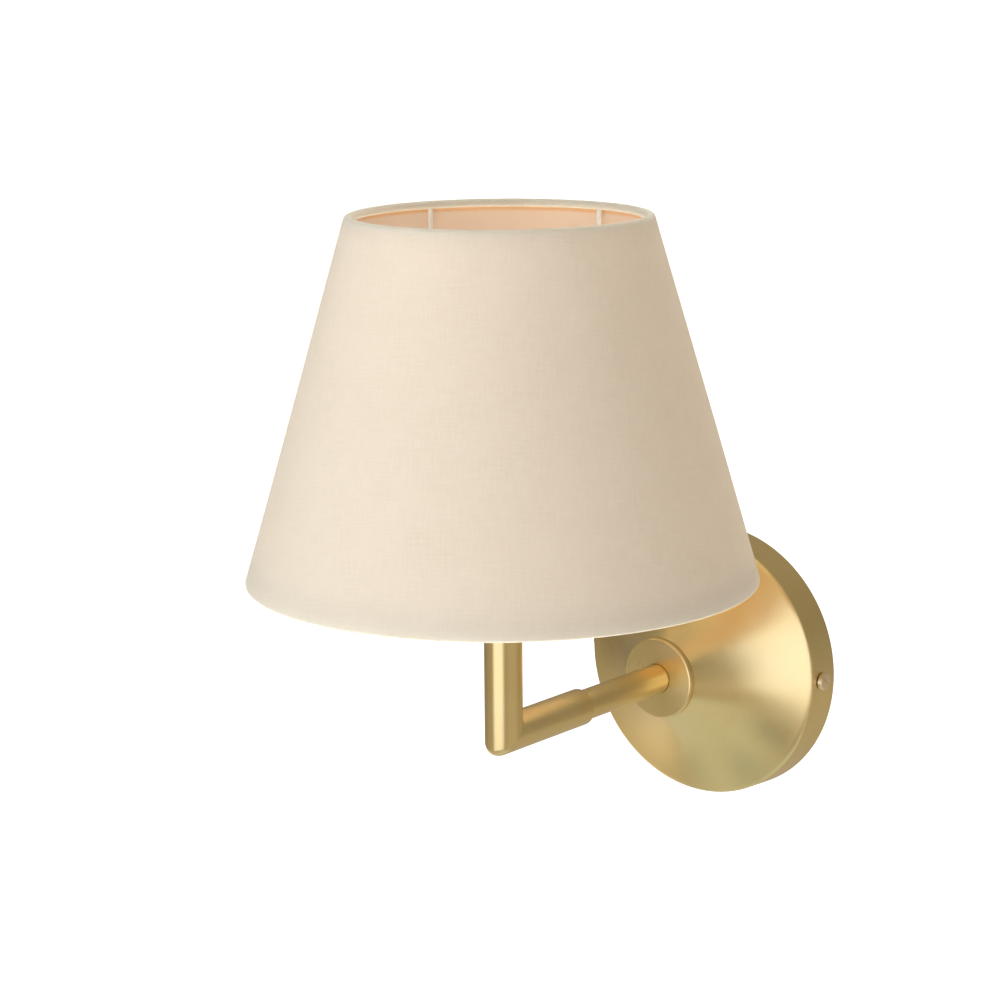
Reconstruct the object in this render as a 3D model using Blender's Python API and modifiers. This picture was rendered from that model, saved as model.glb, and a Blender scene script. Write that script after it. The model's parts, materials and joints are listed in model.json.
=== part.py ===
"""Swing arm wall sconce: a spun brass wall cover on a strap bracket, a thin fixed arm with a
swivelling elbow tube on its end, and a lampholder that carries a bulb and a cream empire shade.

The origin is the centre of the bracket's back face, which is the wall plane. The arm leaves the
wall along -Y and the elbow turns up along +Z. Sizes here are millimetres, and each helper scales
them to metres. In a profile, a point is (radius, distance along the axis of turning).
"""

import math

import bmesh
import bpy
from mathutils import Matrix, Vector

MM = 0.001
GAP = 0.3                       # clearance between pieces that touch

# Wall cover: a shallow dish with a trumpet-shaped front
COVER_R = 58.0                  # rim against the wall
COVER_EDGE_R = 57.3             # band, where its front edge starts to round over
COVER_FRONT_R = 56.2            # where the dome starts
COVER_BAND = 16.1               # depth from the wall to the dome's start
COVER_WALL = 1.2
DOME_TOP = 44.0
DOME_TOP_R = 16.0
DOME_TURN = 33.0                # degrees that the dome's curve turns through

# Strap bracket inside the cover
STRAP_T = 2.0
STRAP_HALF_WIDTH = 9.0
STRAP_REACH = 55.2              # outside of each bent tab
TAB_DEPTH = 14.0
SIDE_SCREW_DEPTH = 9.0          # side screws' distance from the wall
SLOT_X = 31.0
SLOT_HALF = 6.0
SLOT_R = 2.3
EARTH_X = 16.0

# Arm
FLANGE_R = 17.35
FLANGE_T = 3.2
FLANGE_FRONT = 47.45
ARM_R = 6.25
TUBE_WALL = 1.0
ARM_END = 113.0
SLEEVE_R = 7.55
SLEEVE_START = 101.2
REACH = 150.6                   # wall to the lamp's upright axis
NIPPLE_R = 4.9                  # M10 x 1 lamp thread
NIPPLE_BORE = 3.6
FLEX_R = 2.2

# Swivel, as distances from the wall
SHOULDER = (113.3, 115.0)
NECK_R = 4.2
NECK_END = 126.5
COLLAR = (118.0, 121.0)
STOP_R = 5.35                   # radius at which the stop peg runs

# Upright and lampholder, as heights above the arm's axis
UPRIGHT_TOP = 90.0
HOLDER_BASE = 112.3
HOLDER_THREAD_R = 13.3
HOLDER_FLANGE_TOP = 130.1
HOLDER_TOP = 144.0
FITTER_R = 13.7
FITTER_EDGE_R = 21.5
FITTER_T = 1.2

# Bulb, small cap and round envelope
BULB_R = 22.5
BULB_CENTRE = 172.5
CAP_R = 6.9
CAP_TOP = 144.0
NECK_GLASS_R = 7.4

# Shade, an empire cone
SHADE_BOTTOM_R = 100.0
SHADE_TOP_R = 58.8
SHADE_BOTTOM = 63.4
SHADE_TOP = 205.3
CLOTH_T = 0.6
LINER_T = 0.4
RING_WIRE_R = 1.2
STRUT_R = 1.0
STRUT_COUNT = 5
STRUT_TURN = 13.4               # degrees that the first strut stands off the X axis
TOP_HEM = 1.2
BOTTOM_HEM = 3.6
FITTER_Z = 131.0

SHADE_SLOPE = (SHADE_BOTTOM_R - SHADE_TOP_R) / (SHADE_TOP - SHADE_BOTTOM)
SHADE_TILT = math.atan(SHADE_SLOPE)
FOLD_R = RING_WIRE_R + GAP + CLOTH_T
WIDE_STEPS = 40
SMALL_STEPS = 20
ELBOW_SIDES = 24

COLLECTION_NAME = "swing_arm_wall_sconce"
LAMP_AXIS = Vector((0, -REACH, 0)) * MM


# ---------------------------------------------------------------- helpers

def clear_scene():
    for item in list(bpy.data.objects):
        bpy.data.objects.remove(item, do_unlink=True)


def make_collection(name):
    collection = bpy.data.collections.new(name)
    bpy.context.scene.collection.children.link(collection)
    return collection


def make_material(name, colour, roughness, metallic):
    material = bpy.data.materials.new(name)
    material.use_nodes = True
    shader = material.node_tree.nodes["Principled BSDF"]
    shader.inputs["Base Color"].default_value = (*colour, 1.0)
    shader.inputs["Roughness"].default_value = roughness
    shader.inputs["Metallic"].default_value = metallic
    return material


def arc(centre, radius, start, end, steps):
    """Points on a circle from one angle to another, in degrees, both ends included."""
    points = []
    for step in range(steps + 1):
        angle = math.radians(start + (end - start) * step / steps)
        points.append((centre[0] + radius * math.cos(angle), centre[1] + radius * math.sin(angle)))
    return points


def bowed(first, last, turn, steps):
    """Points on the arc from first to last that turns left by the given degrees."""
    start, end = Vector(first), Vector(last)
    chord = end - start
    radius = chord.length / (2 * math.sin(math.radians(turn) / 2))
    inward = Vector((-chord.y, chord.x)).normalized()
    middle = (start + end) / 2
    centre = middle + inward * radius * math.cos(math.radians(turn) / 2)
    begin = math.degrees(math.atan2(start.y - centre.y, start.x - centre.x))
    return arc(centre, radius, begin, begin + turn, steps)


def add_mesh(name, verts, edges=(), faces=()):
    mesh = bpy.data.meshes.new(name)
    mesh.from_pydata([Vector(v) * MM for v in verts], edges, faces)
    piece = bpy.data.objects.new(name, mesh)
    bpy.context.scene.collection.objects.link(piece)
    return piece


def turned(name, profile, steps=SMALL_STEPS, closed=True, wall=0.0):
    """A profile turned about local Z. It runs down its outer side; a wall makes it a shell."""
    count = len(profile)
    edges = [(i, i + 1) for i in range(count - 1)]
    if closed:
        edges.append((count - 1, 0))
    piece = add_mesh(name, [(r, 0, z) for r, z in profile], edges)
    screw = piece.modifiers.new("turn", "SCREW")
    screw.steps = screw.render_steps = steps
    screw.use_merge_vertices = True
    screw.merge_threshold = 0.00001
    screw.use_smooth_shade = True
    if wall:
        shell = piece.modifiers.new("wall", "SOLIDIFY")
        shell.thickness = wall * MM
        shell.offset = -1.0
        shell.use_even_offset = True
    return piece


def ring(name, bore, radius, low, high, steps=SMALL_STEPS):
    return turned(name, [(bore, high), (radius, high), (radius, low), (bore, low)], steps)


def face_out(piece):
    """Stand a piece, modelled along Z, on the wall so that its +Z points into the room."""
    piece.rotation_euler = (math.pi / 2, 0, 0)
    return piece


def stand_up(piece):
    """Put a piece, modelled along Z, on the lamp's upright axis."""
    piece.location = LAMP_AXIS
    return piece


def outline(name, loops, half_thickness):
    """A flat shape in local XY, with its holes, made a solid along local Z."""
    curve = bpy.data.curves.new(name, "CURVE")
    curve.dimensions = "2D"
    curve.fill_mode = "BOTH"
    curve.extrude = half_thickness * MM
    for loop in loops:
        spline = curve.splines.new("POLY")
        spline.points.add(len(loop) - 1)
        for point, (x, y) in zip(spline.points, loop):
            point.co = (x * MM, y * MM, 0, 1)
        spline.use_cyclic_u = True
    return as_mesh(bpy.data.objects.new(name, curve))


def wire(name, points, radius, resolution=1):
    """A round wire through points in millimetres, with closed ends."""
    curve = bpy.data.curves.new(name, "CURVE")
    curve.dimensions = "3D"
    curve.bevel_depth = radius * MM
    curve.bevel_resolution = resolution
    curve.use_fill_caps = True
    spline = curve.splines.new("POLY")
    spline.points.add(len(points) - 1)
    for point, place in zip(spline.points, points):
        point.co = (*(Vector(place) * MM), 1)
    return as_mesh(bpy.data.objects.new(name, curve))


def as_mesh(curve_piece):
    """The mesh of a curve object, with its caps welded on, in place of the curve."""
    bpy.context.scene.collection.objects.link(curve_piece)
    bpy.context.view_layer.update()
    name = curve_piece.name
    evaluated = curve_piece.evaluated_get(bpy.context.evaluated_depsgraph_get())
    mesh = bpy.data.meshes.new_from_object(evaluated)
    place = curve_piece.matrix_world.copy()
    bpy.data.objects.remove(curve_piece, do_unlink=True)
    work = bmesh.new()
    work.from_mesh(mesh)
    bmesh.ops.remove_doubles(work, verts=work.verts, dist=0.000005)
    bmesh.ops.recalc_face_normals(work, faces=work.faces)
    work.to_mesh(mesh)
    work.free()
    piece = bpy.data.objects.new(name, mesh)
    piece.matrix_world = place
    bpy.context.scene.collection.objects.link(piece)
    return piece


def smooth_run(points, per_span):
    """Points along a smooth curve through the given ones."""
    places = [Vector(p) for p in points]
    ends = [places[0] * 2 - places[1]] + places + [places[-1] * 2 - places[-2]]
    run = []
    for i in range(1, len(ends) - 2):
        before, start, end, after = ends[i - 1:i + 3]
        for step in range(per_span):
            t = step / per_span
            run.append(0.5 * ((2 * start) + (end - before) * t
                              + (2 * before - 5 * start + 4 * end - after) * t ** 2
                              + (3 * start - before - 3 * end + after) * t ** 3))
    run.append(places[-1])
    return run


def box(name, low, high):
    """A block between two corners."""
    bpy.ops.mesh.primitive_cube_add(size=1)
    piece = bpy.context.object
    piece.name = name
    low, high = Vector(low) * MM, Vector(high) * MM
    piece.data.transform(Matrix.Translation((low + high) / 2) @ Matrix.Diagonal((*(high - low), 1)))
    return piece


def rod(name, start, end, radius, sides=SMALL_STEPS):
    """A straight round bar from one point to another."""
    start, end = Vector(start) * MM, Vector(end) * MM
    bpy.ops.mesh.primitive_cylinder_add(vertices=sides, radius=radius * MM, depth=(end - start).length)
    piece = bpy.context.object
    piece.name = name
    turn = (end - start).to_track_quat("Z", "Y").to_matrix().to_4x4()
    piece.data.transform(Matrix.Translation((start + end) / 2) @ turn)
    return piece


def combine(piece, tool, operation):
    """Cut the tool from the piece, or join it on. The tool stays as a hidden guide."""
    change = piece.modifiers.new(f"{operation.lower()}_{tool.name}", "BOOLEAN")
    change.operation = operation
    change.object = tool
    tool.hide_render = True
    tool.display_type = "WIRE"
    file_under(tool, cutters)


def cut(piece, tool):
    combine(piece, tool, "DIFFERENCE")


def join(piece, tool):
    combine(piece, tool, "UNION")


def file_under(piece, collection):
    for owner in list(piece.users_collection):
        owner.objects.unlink(piece)
    collection.objects.link(piece)


def axis_marker(name, place, parent=None):
    """An empty on a joint's axis, which its moving pieces are parented to."""
    marker = bpy.data.objects.new(name, None)
    marker.empty_display_size = 0.02
    parts.objects.link(marker)
    marker.location = Vector(place) * MM
    if parent:
        marker.parent = parent
        marker.location -= marker_places[parent.name]
    marker_places[name] = Vector(place) * MM
    return marker


def finish(piece, material, marker):
    """Colour a piece, file it with the parts and hang it on its body's marker."""
    piece.data.materials.clear()
    piece.data.materials.append(material)
    if not piece.modifiers or piece.modifiers[0].type != "SCREW":
        piece.data.shade_smooth()
        piece.data.set_sharp_from_angle(angle=math.radians(30))
    file_under(piece, parts)
    piece.parent = marker
    piece.matrix_parent_inverse = Matrix.Translation(-marker_places[marker.name])
    return piece


# ---------------------------------------------------------------- wall bracket and its screws

def wall_bracket():
    """A strap bent into a wide U, with slots for the wall screws and tapped end tabs."""
    outer_r, inner_r = 3.0, 1.0
    bend_x = STRAP_REACH - outer_r
    tab_in = STRAP_REACH - STRAP_T
    path = [(-STRAP_REACH, -TAB_DEPTH)]
    path += arc((-bend_x, -outer_r), outer_r, 180, 90, 4)
    path += arc((bend_x, -outer_r), outer_r, 90, 0, 4)
    path += [(STRAP_REACH, -TAB_DEPTH), (tab_in, -TAB_DEPTH)]
    path += arc((bend_x, -outer_r), inner_r, 0, 90, 3)
    path += arc((-bend_x, -outer_r), inner_r, 90, 180, 3)
    path += [(-tab_in, -TAB_DEPTH)]
    strap = outline("wall_bracket", [path], STRAP_HALF_WIDTH)
    for side in (-1, 1):
        middle = side * SLOT_X
        loop = arc((middle + SLOT_HALF, 0), SLOT_R, -90, 90, 8)
        loop += arc((middle - SLOT_HALF, 0), SLOT_R, 90, 270, 8)
        cut(strap, face_out(outline(f"slot_{middle:.0f}", [loop], STRAP_T * 2)))
        reach = STRAP_REACH + 5
        start = (side * (STRAP_REACH - 6), -SIDE_SCREW_DEPTH, 0)
        cut(strap, rod(f"tab_hole_{side}", start, (side * reach, -SIDE_SCREW_DEPTH, 0), 2.1))
    cut(strap, rod("earth_hole", (EARTH_X, 2, 0), (EARTH_X, -STRAP_T - 2, 0), 2.1))
    return strap


def side_screw(name, side):
    """A slotted cheese-head screw that holds the cover to one tab of the bracket."""
    seat = COVER_R - 0.2
    head = seat + 1.9
    profile = [(0, head), (3.3, head), (3.7, head - 0.4), (3.7, seat), (1.8, seat), (1.8, 50.5), (0, 50.5)]
    screw = turned(name, profile, 20, closed=False)
    screw.location = Vector((0, -SIDE_SCREW_DEPTH, 0)) * MM
    screw.rotation_euler = (0, side * math.pi / 2, 0)
    slot = box(f"{name}_slot", (-5, -0.5, head - 0.9), (5, 0.5, head + 1))
    slot.location = screw.location
    slot.rotation_euler = (0, side * math.pi / 2, 0)
    slot.data.transform(Matrix.Rotation(math.radians(50), 4, "Z"))
    cut(screw, slot)
    return screw


def earth_screw():
    head = 6.0
    profile = [(0, head), (2.6, head), (3.4, head - 0.9), (3.4, 3.6), (1.8, 3.6), (1.8, 0.3), (0, 0.3)]
    screw = face_out(turned("earth_screw", profile, 20, closed=False))
    screw.location = Vector((EARTH_X, 0, 0)) * MM
    cut(screw, box("earth_slot", (EARTH_X - 5, -head - 1, -0.45), (EARTH_X + 5, -head + 0.8, 0.45)))
    return screw


def ring_tag(name, bore, radius, tongue, depth):
    """A flat eyelet with a tongue along local +X, in the plane at the given depth."""
    opening = math.degrees(math.asin(1.3 / radius))
    edge = arc((0, 0), radius, opening, 360 - opening, 14)
    loops = [edge + [(tongue, -1.3), (tongue, 1.3)], arc((0, 0), bore, 0, 337.5, 15)]
    tag = face_out(outline(name, loops, 0.4))
    tag.location = Vector((0, -depth, 0)) * MM
    return tag


# ---------------------------------------------------------------- cover, flange and their fixings

def wall_cover():
    """The spun cover: a flat centre, a concave dome, a rounded edge and a band to the wall."""
    profile = [(NIPPLE_R + 0.4, DOME_TOP)]
    profile += bowed((DOME_TOP_R, DOME_TOP), (COVER_FRONT_R, COVER_BAND), DOME_TURN, 6)
    profile += [(COVER_EDGE_R - 0.35, COVER_BAND - 0.3), (COVER_EDGE_R, COVER_BAND - 1.1), (COVER_R, 0)]
    cover = face_out(turned("wall_cover", profile, WIDE_STEPS, closed=False, wall=COVER_WALL))
    for side in (-1, 1):
        start = (side * (COVER_R - 6), -SIDE_SCREW_DEPTH, 0)
        end = (side * (COVER_R + 4), -SIDE_SCREW_DEPTH, 0)
        cut(cover, rod(f"cover_hole_{side}", start, end, 2.3, 16))
    return cover


def arm_flange():
    """The turned disc on the cover, recessed for the arm's end."""
    back = FLANGE_FRONT - FLANGE_T
    profile = [(ARM_R + 0.2, FLANGE_FRONT)]
    profile += arc((FLANGE_R - 1.4, FLANGE_FRONT - 1.4), 1.4, 90, 0, 3)
    profile += [(FLANGE_R, back + 0.4), (FLANGE_R - 0.4, back), (NIPPLE_R + GAP, back)]
    profile += [(NIPPLE_R + GAP, FLANGE_FRONT - 1.2), (ARM_R + 0.2, FLANGE_FRONT - 1.2)]
    return face_out(turned("arm_flange", profile, 28))


def hex_nut(name, across_flats, low, high):
    """A hexagon nut on the M10 lamp thread, standing along local Z."""
    corner_r = across_flats / 2 / math.cos(math.pi / 6)
    nut = rod(name, (0, 0, low), (0, 0, high), corner_r, 6)
    bore = rod(f"{name}_bore", (0, 0, low - 1), (0, 0, high + 1), NIPPLE_R + GAP)
    return nut, bore


def nipple_nut():
    nut, bore = hex_nut("nipple_nut", 14.0, 35.4, 39.6)
    cut(face_out(nut), face_out(bore))
    return nut


def nipple_bush():
    """A plastic sleeve that keeps the flex off the nipple's edge."""
    profile = [(2.6, 36), (3.3, 36), (3.3, 29.7), (5.0, 29.7), (5.0, 27.8), (2.6, 27.8)]
    return face_out(turned("nipple_bush", profile))


# ---------------------------------------------------------------- wiring inside the cover

POLE_X = 5.0
POLE_DEPTH = 6.5
TERMINAL_Z = 4.0


def terminal_block():
    block = box("terminal_block", (-10, -14, -7.5), (10, -STRAP_T - GAP, 7.5))
    for pole in (-POLE_X, POLE_X):
        cut(block, rod(f"pole_{pole:.0f}", (pole, -POLE_DEPTH, -9), (pole, -POLE_DEPTH, 9), 2.3, 16))
        for z in (-TERMINAL_Z, TERMINAL_Z):
            well = rod(f"well_{pole:.0f}_{z:.0f}", (pole, -POLE_DEPTH, z), (pole, -16, z), 1.8, 16)
            cut(block, well)
    return block


def terminal_insert(name, pole):
    """A brass barrel with its two clamping screws."""
    insert = rod(name, (pole, -POLE_DEPTH, -6.5), (pole, -POLE_DEPTH, 6.5), 1.95, 16)
    for z in (-TERMINAL_Z, TERMINAL_Z):
        join(insert, rod(f"{name}_screw_{z:.0f}", (pole, -POLE_DEPTH - 1, z), (pole, -12, z), 1.4, 12))
    cut(insert, rod(f"{name}_bore", (pole, -POLE_DEPTH, -8), (pole, -POLE_DEPTH, 8), 1.15, 12))
    return insert


def core(name, side):
    pole = side * POLE_X
    route = [(pole, -POLE_DEPTH, 4), (pole, -POLE_DEPTH, 9), (side * 4.4, -8, 13.5),
             (side * 2.6, -10.5, 17), (side * 1.1, -13.6, 19.2)]
    return wire(name, smooth_run(route, 3), 0.75)


def earth_lead():
    route = [(EARTH_X, -2.9, 9.6), (EARTH_X, -4.5, 12), (17.4, -13, 13), (18.4, -24, 9.5),
             (16.8, -33, 5), (14.9, -38.3, 1.5), (13.0, -40.3, 0)]
    return wire("earth_lead", smooth_run(route, 3), 0.8)


def flex_arm():
    """The sheathed flex from the terminal block, through the nipple and arm, to the swivel."""
    route = [(0, -14.4, 20), (0, -18.5, 19.6), (0, -21.8, 15.5), (0, -22.9, 9.5), (0, -24.2, 3.2),
             (0, -27.2, 0.2), (0, -31, 0)]
    run = smooth_run(route, 3) + [Vector((0, -60, 0)), Vector((0, -100, 0)), Vector((0, -134, 0))]
    return wire("flex_arm", run, FLEX_R, 2)


def flex_lamp():
    """The flex's run past the swivel, round the elbow and up to the lampholder."""
    x, y = 0, -REACH
    route = [(x, -134.3, 0), (x, y + 11, 0.1), (x, y + 5, 1.6), (x, y + 1.6, 5), (x, y + 0.1, 11),
             (x, y, 18)]
    run = smooth_run(route, 3) + [Vector((x, y, 60)), Vector((x, y, 115))]
    return wire("flex_lamp", run, FLEX_R, 2)


# ---------------------------------------------------------------- arm, swivel and elbow

def swivel_spigot():
    """A bored plug in the arm's end: a shoulder, the neck that the elbow turns on and a stop lug."""
    low, high = SHOULDER
    profile = [(2.6, NECK_END), (NECK_R, NECK_END), (NECK_R, high), (6.1, high), (6.1, low),
               (4.95, low), (4.95, 101), (2.6, 101)]
    spigot = face_out(turned("swivel_spigot", profile))
    join(spigot, box("stop_lug", (-1, -117.4, 3.8), (1, -114.6, 6.0)))
    return spigot


def swivel_collar():
    """The ring brazed inside the sleeve, with the peg that meets the stop lug."""
    low, high = COLLAR
    collar = face_out(ring("swivel_collar", NECK_R + GAP, SLEEVE_R - TUBE_WALL - GAP, low, high))
    join(collar, rod("stop_peg", (0, -high + 1, -STOP_R), (0, -115.5, -STOP_R), 0.75, 12))
    return collar


def swivel_nut():
    nut = face_out(ring("swivel_nut", NECK_R + GAP, 6.1, 122.6, 126.0))
    cut(nut, box("spanner_slot", (-8, -127, -0.7), (8, -124.8, 0.7)))
    return nut


def elbow_section(radius, place):
    """One cross-section of the elbow tube, from a function of each point's place on the circle."""
    section = []
    for step in range(ELBOW_SIDES):
        angle = 2 * math.pi * step / ELBOW_SIDES
        section.append(place(radius * math.cos(angle), radius * math.sin(angle)))
    return section


def elbow_skin(radius, softening):
    """Sections round the mitre, whose outer corner is softened and whose inner one is crisp."""
    sections = []
    for step in range(5):
        turn = math.pi / 2 * step / 4

        def place(across, up, turn=turn):
            soft = 0.4 + softening * max(0.0, -up / radius)
            return (across, -REACH + up + soft * (1 - math.sin(turn)), up + soft * (1 - math.cos(turn)))
        sections.append(elbow_section(radius, place))
    return sections


def elbow_tube():
    """The sleeve and the upright, mitred at the corner, as one hollow loft."""
    bore = SLEEVE_R - TUBE_WALL
    ease = 0.35
    skins = [elbow_section(SLEEVE_R - ease, lambda a, b: (a, -SLEEVE_START, b)),
             elbow_section(SLEEVE_R, lambda a, b: (a, -SLEEVE_START - ease, b))]
    skins += elbow_skin(SLEEVE_R, 2.8)
    skins += [elbow_section(SLEEVE_R, lambda a, b: (a, -REACH + b, UPRIGHT_TOP)),
              elbow_section(bore, lambda a, b: (a, -REACH + b, UPRIGHT_TOP))]
    skins += reversed(elbow_skin(bore, 1.6))
    skins += [elbow_section(bore, lambda a, b: (a, -SLEEVE_START, b))]
    count = len(skins[0])
    verts = [point for section in skins for point in section]
    faces = []
    for row in range(len(skins)):
        after = (row + 1) % len(skins)
        for i in range(count):
            j = (i + 1) % count
            faces.append((row * count + i, row * count + j, after * count + j, after * count + i))
    tube = add_mesh("elbow_tube", verts, (), faces)
    work = bmesh.new()
    work.from_mesh(tube.data)
    bmesh.ops.recalc_face_normals(work, faces=work.faces)
    work.to_mesh(tube.data)
    work.free()
    return tube


# ---------------------------------------------------------------- lampholder

def tube_end_bush():
    """The threaded plug brazed in the upright's top."""
    bore, seat = NIPPLE_R + GAP, UPRIGHT_TOP + GAP
    profile = [(bore, seat + 2), (SLEEVE_R, seat + 2), (SLEEVE_R, seat), (6.25, seat), (6.25, 80), (bore, 80)]
    return stand_up(turned("tube_end_bush", profile))


def holder_locknut():
    nut, bore = hex_nut("holder_locknut", 13.0, 92.6, 95.0)
    cut(stand_up(nut), stand_up(bore))
    return nut


def holder_cap():
    """The cup that screws on the nipple and closes the lampholder's lower end."""
    bore = NIPPLE_R + GAP
    profile = [(12.7, 112), (13.9, 112), (13.9, 104.5), (8, 99.5), (8, 95.3), (bore, 95.3), (bore, 101),
               (7.6, 101), (12.7, 105.3)]
    return stand_up(turned("holder_cap", profile))


def holder_body():
    """The threaded outer skirt, with the flange that the shade's fitter rests on."""
    base, top, flange, r = HOLDER_BASE, HOLDER_TOP, HOLDER_FLANGE_TOP, HOLDER_THREAD_R
    profile = [(8.4, top), (r - 0.3, top), (r, top - 0.4), (r, flange), (19, flange), (19, flange - 1.8),
               (r, flange - 1.8), (r, base), (3, base), (3, base + 3), (8.4, base + 3)]
    return stand_up(turned("holder_body", profile))


def holder_contact():
    """The springy strip under the bulb's tip."""
    side = [(-6.5, 115.6), (4.5, 115.6), (5, 116.1), (1.5, 120.9), (-2.5, 120.9), (-2.5, 120.4),
            (1.2, 120.4), (4, 116.1), (-6.5, 116.1)]
    leaf = outline("holder_contact", [side], 1.5)
    leaf.rotation_euler = (math.pi / 2, 0, 0)
    return stand_up(leaf)


def shade_ring():
    """The threaded ring that clamps the shade, with a ribbed edge."""
    ribs = 16
    edge = []
    for rib in range(ribs):
        for offset, radius in ((0.0, 19.3), (0.45, 19.3), (0.55, 18.5), (0.9, 18.5)):
            angle = 2 * math.pi * (rib + offset) / ribs
            edge.append((radius * math.cos(angle), radius * math.sin(angle)))
    clamp = outline("shade_ring", [edge, arc((0, 0), FITTER_R, 0, 345, 23)], 2.2)
    clamp.location = LAMP_AXIS + Vector((0, 0, 134.3)) * MM
    return clamp


# ---------------------------------------------------------------- bulb

def bulb_glass():
    """The round envelope, open where its neck stands on the cap."""
    profile = arc((0, BULB_CENTRE), BULB_R, 90, -50, 7)
    profile[0] = (0, BULB_CENTRE + BULB_R)
    profile += [(9.6, 150.6), (7.9, 148), (NECK_GLASS_R, 145.5), (NECK_GLASS_R, CAP_TOP + GAP)]
    return stand_up(turned("bulb_glass", profile, closed=False, wall=0.9))


def bulb_cap():
    profile = [(0, CAP_TOP), (CAP_R, CAP_TOP), (CAP_R, 125.6), (4.2, 122.9), (0, 122.9)]
    return stand_up(turned("bulb_cap", profile, closed=False))


def bulb_tip():
    profile = [(0, 122.6), (2.2, 122.6), (1.8, 121.7), (0, 121.3)]
    return stand_up(turned("bulb_tip", profile, 16, closed=False))


# ---------------------------------------------------------------- shade

def shade_r(height):
    """The cloth's outer radius at a height."""
    return SHADE_TOP_R + (SHADE_TOP - height) * SHADE_SLOPE


def fold_centre(end):
    """Centre of the ring wire that the cloth folds round at the shade's top or bottom."""
    z = SHADE_TOP - FOLD_R if end == "top" else SHADE_BOTTOM + FOLD_R
    touch = z + FOLD_R * math.sin(SHADE_TILT)
    return shade_r(touch) - FOLD_R * math.cos(SHADE_TILT), z


def strut_angle(index):
    """The direction of a strut from the lamp's axis, in radians."""
    return math.radians(STRUT_TURN + index * 360 / STRUT_COUNT)


def shade_cover():
    """The cloth cone, folded over both rings, with notches in its top hem for the struts."""
    tilt = math.degrees(SHADE_TILT)
    down = Vector((math.sin(SHADE_TILT), -math.cos(SHADE_TILT)))
    top = arc(fold_centre("top"), FOLD_R, 180 + tilt, tilt, 4)
    bottom = arc(fold_centre("bottom"), FOLD_R, tilt, tilt - 180, 4)
    profile = [tuple(Vector(top[0]) + down * TOP_HEM)] + top + bottom
    profile += [tuple(Vector(bottom[-1]) - down * BOTTOM_HEM)]
    cloth = turned("shade_cover", profile, WIDE_STEPS, closed=False, wall=CLOTH_T)
    stand_up(cloth)
    for index in range(STRUT_COUNT):
        notch = box(f"hem_notch_{index}", (53.5, -1.7, 197), (58.3, 1.7, 203.2))
        notch.location = LAMP_AXIS
        notch.rotation_euler.z = strut_angle(index)
        cut(cloth, notch)
    return cloth


def shade_liner():
    """The stiff translucent lining just inside the cloth."""
    near, far = CLOTH_T + GAP, CLOTH_T + GAP + LINER_T
    low, high = 67.3, 201.2
    across = math.cos(SHADE_TILT)
    profile = [(shade_r(high) - far / across, high), (shade_r(high) - near / across, high),
               (shade_r(low) - near / across, low), (shade_r(low) - far / across, low)]
    return stand_up(turned("shade_liner", profile, WIDE_STEPS))


def hoop(name, end):
    """The wire ring at one end of the shade."""
    radius, z = fold_centre(end)
    bpy.ops.mesh.primitive_torus_add(major_segments=WIDE_STEPS, minor_segments=6,
                                     major_radius=radius * MM, minor_radius=RING_WIRE_R * MM)
    piece = bpy.context.object
    piece.name = name
    piece.location = LAMP_AXIS + Vector((0, 0, z)) * MM
    return piece


def shade_strut(name, index):
    """One dropped arm of the frame, from under the top ring down and in to the fitter's edge."""
    bend_r = 8.0
    radius, ring_height = fold_centre("top")
    top = ring_height - RING_WIRE_R - GAP
    side = [(radius, top)] + arc((radius - bend_r, FITTER_Z + bend_r), bend_r, 0, -90, 3)
    side += [(FITTER_EDGE_R + GAP, FITTER_Z)]
    strut = stand_up(wire(name, [(r, 0, height) for r, height in side], STRUT_R))
    strut.rotation_euler.z = strut_angle(index)
    return strut


def shade_fitter():
    """The flat ring that sits on the lampholder's flange."""
    low, high = FITTER_Z - FITTER_T / 2, FITTER_Z + FITTER_T / 2
    return stand_up(ring("shade_fitter", FITTER_R, FITTER_EDGE_R, low, high))


# ---------------------------------------------------------------- assembly

clear_scene()
parts = make_collection(COLLECTION_NAME)
cutters = make_collection("cutters")
marker_places = {}

brass = make_material("satin_brass", (0.60, 0.47, 0.22), 0.32, 1.0)
bright_brass = make_material("turned_brass", (0.72, 0.56, 0.28), 0.22, 1.0)
steel = make_material("zinc_steel", (0.62, 0.63, 0.65), 0.4, 1.0)
white_wire = make_material("white_coated_wire", (0.86, 0.84, 0.80), 0.45, 0.0)
cloth = make_material("cream_cloth", (0.84, 0.77, 0.66), 0.95, 0.0)
lining = make_material("peach_lining", (0.90, 0.74, 0.58), 0.6, 0.0)
black_plastic = make_material("black_plastic", (0.03, 0.03, 0.03), 0.45, 0.0)
white_plastic = make_material("white_plastic", (0.85, 0.84, 0.80), 0.4, 0.0)
fibre = make_material("red_fibre", (0.42, 0.10, 0.06), 0.8, 0.0)
opal = make_material("opal_glass", (0.93, 0.92, 0.88), 0.25, 0.0)
flex = make_material("clear_gold_flex", (0.66, 0.52, 0.30), 0.4, 0.0)
brown_core = make_material("brown_core", (0.20, 0.09, 0.04), 0.5, 0.0)
blue_core = make_material("blue_core", (0.04, 0.16, 0.50), 0.5, 0.0)
earth_core = make_material("earth_core", (0.35, 0.55, 0.08), 0.5, 0.0)

wall = axis_marker("wall_body", (0, 0, 0))
swivel = axis_marker("arm_swivel_axis", (0, -COLLAR[0], 0), wall)
shade_axis = axis_marker("shade_turn_axis", (0, -REACH, FITTER_Z), swivel)
ring_axis = axis_marker("shade_ring_axis", (0, -REACH, 134.3), swivel)
bulb_axis = axis_marker("bulb_axis", (0, -REACH, CAP_TOP), swivel)

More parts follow.
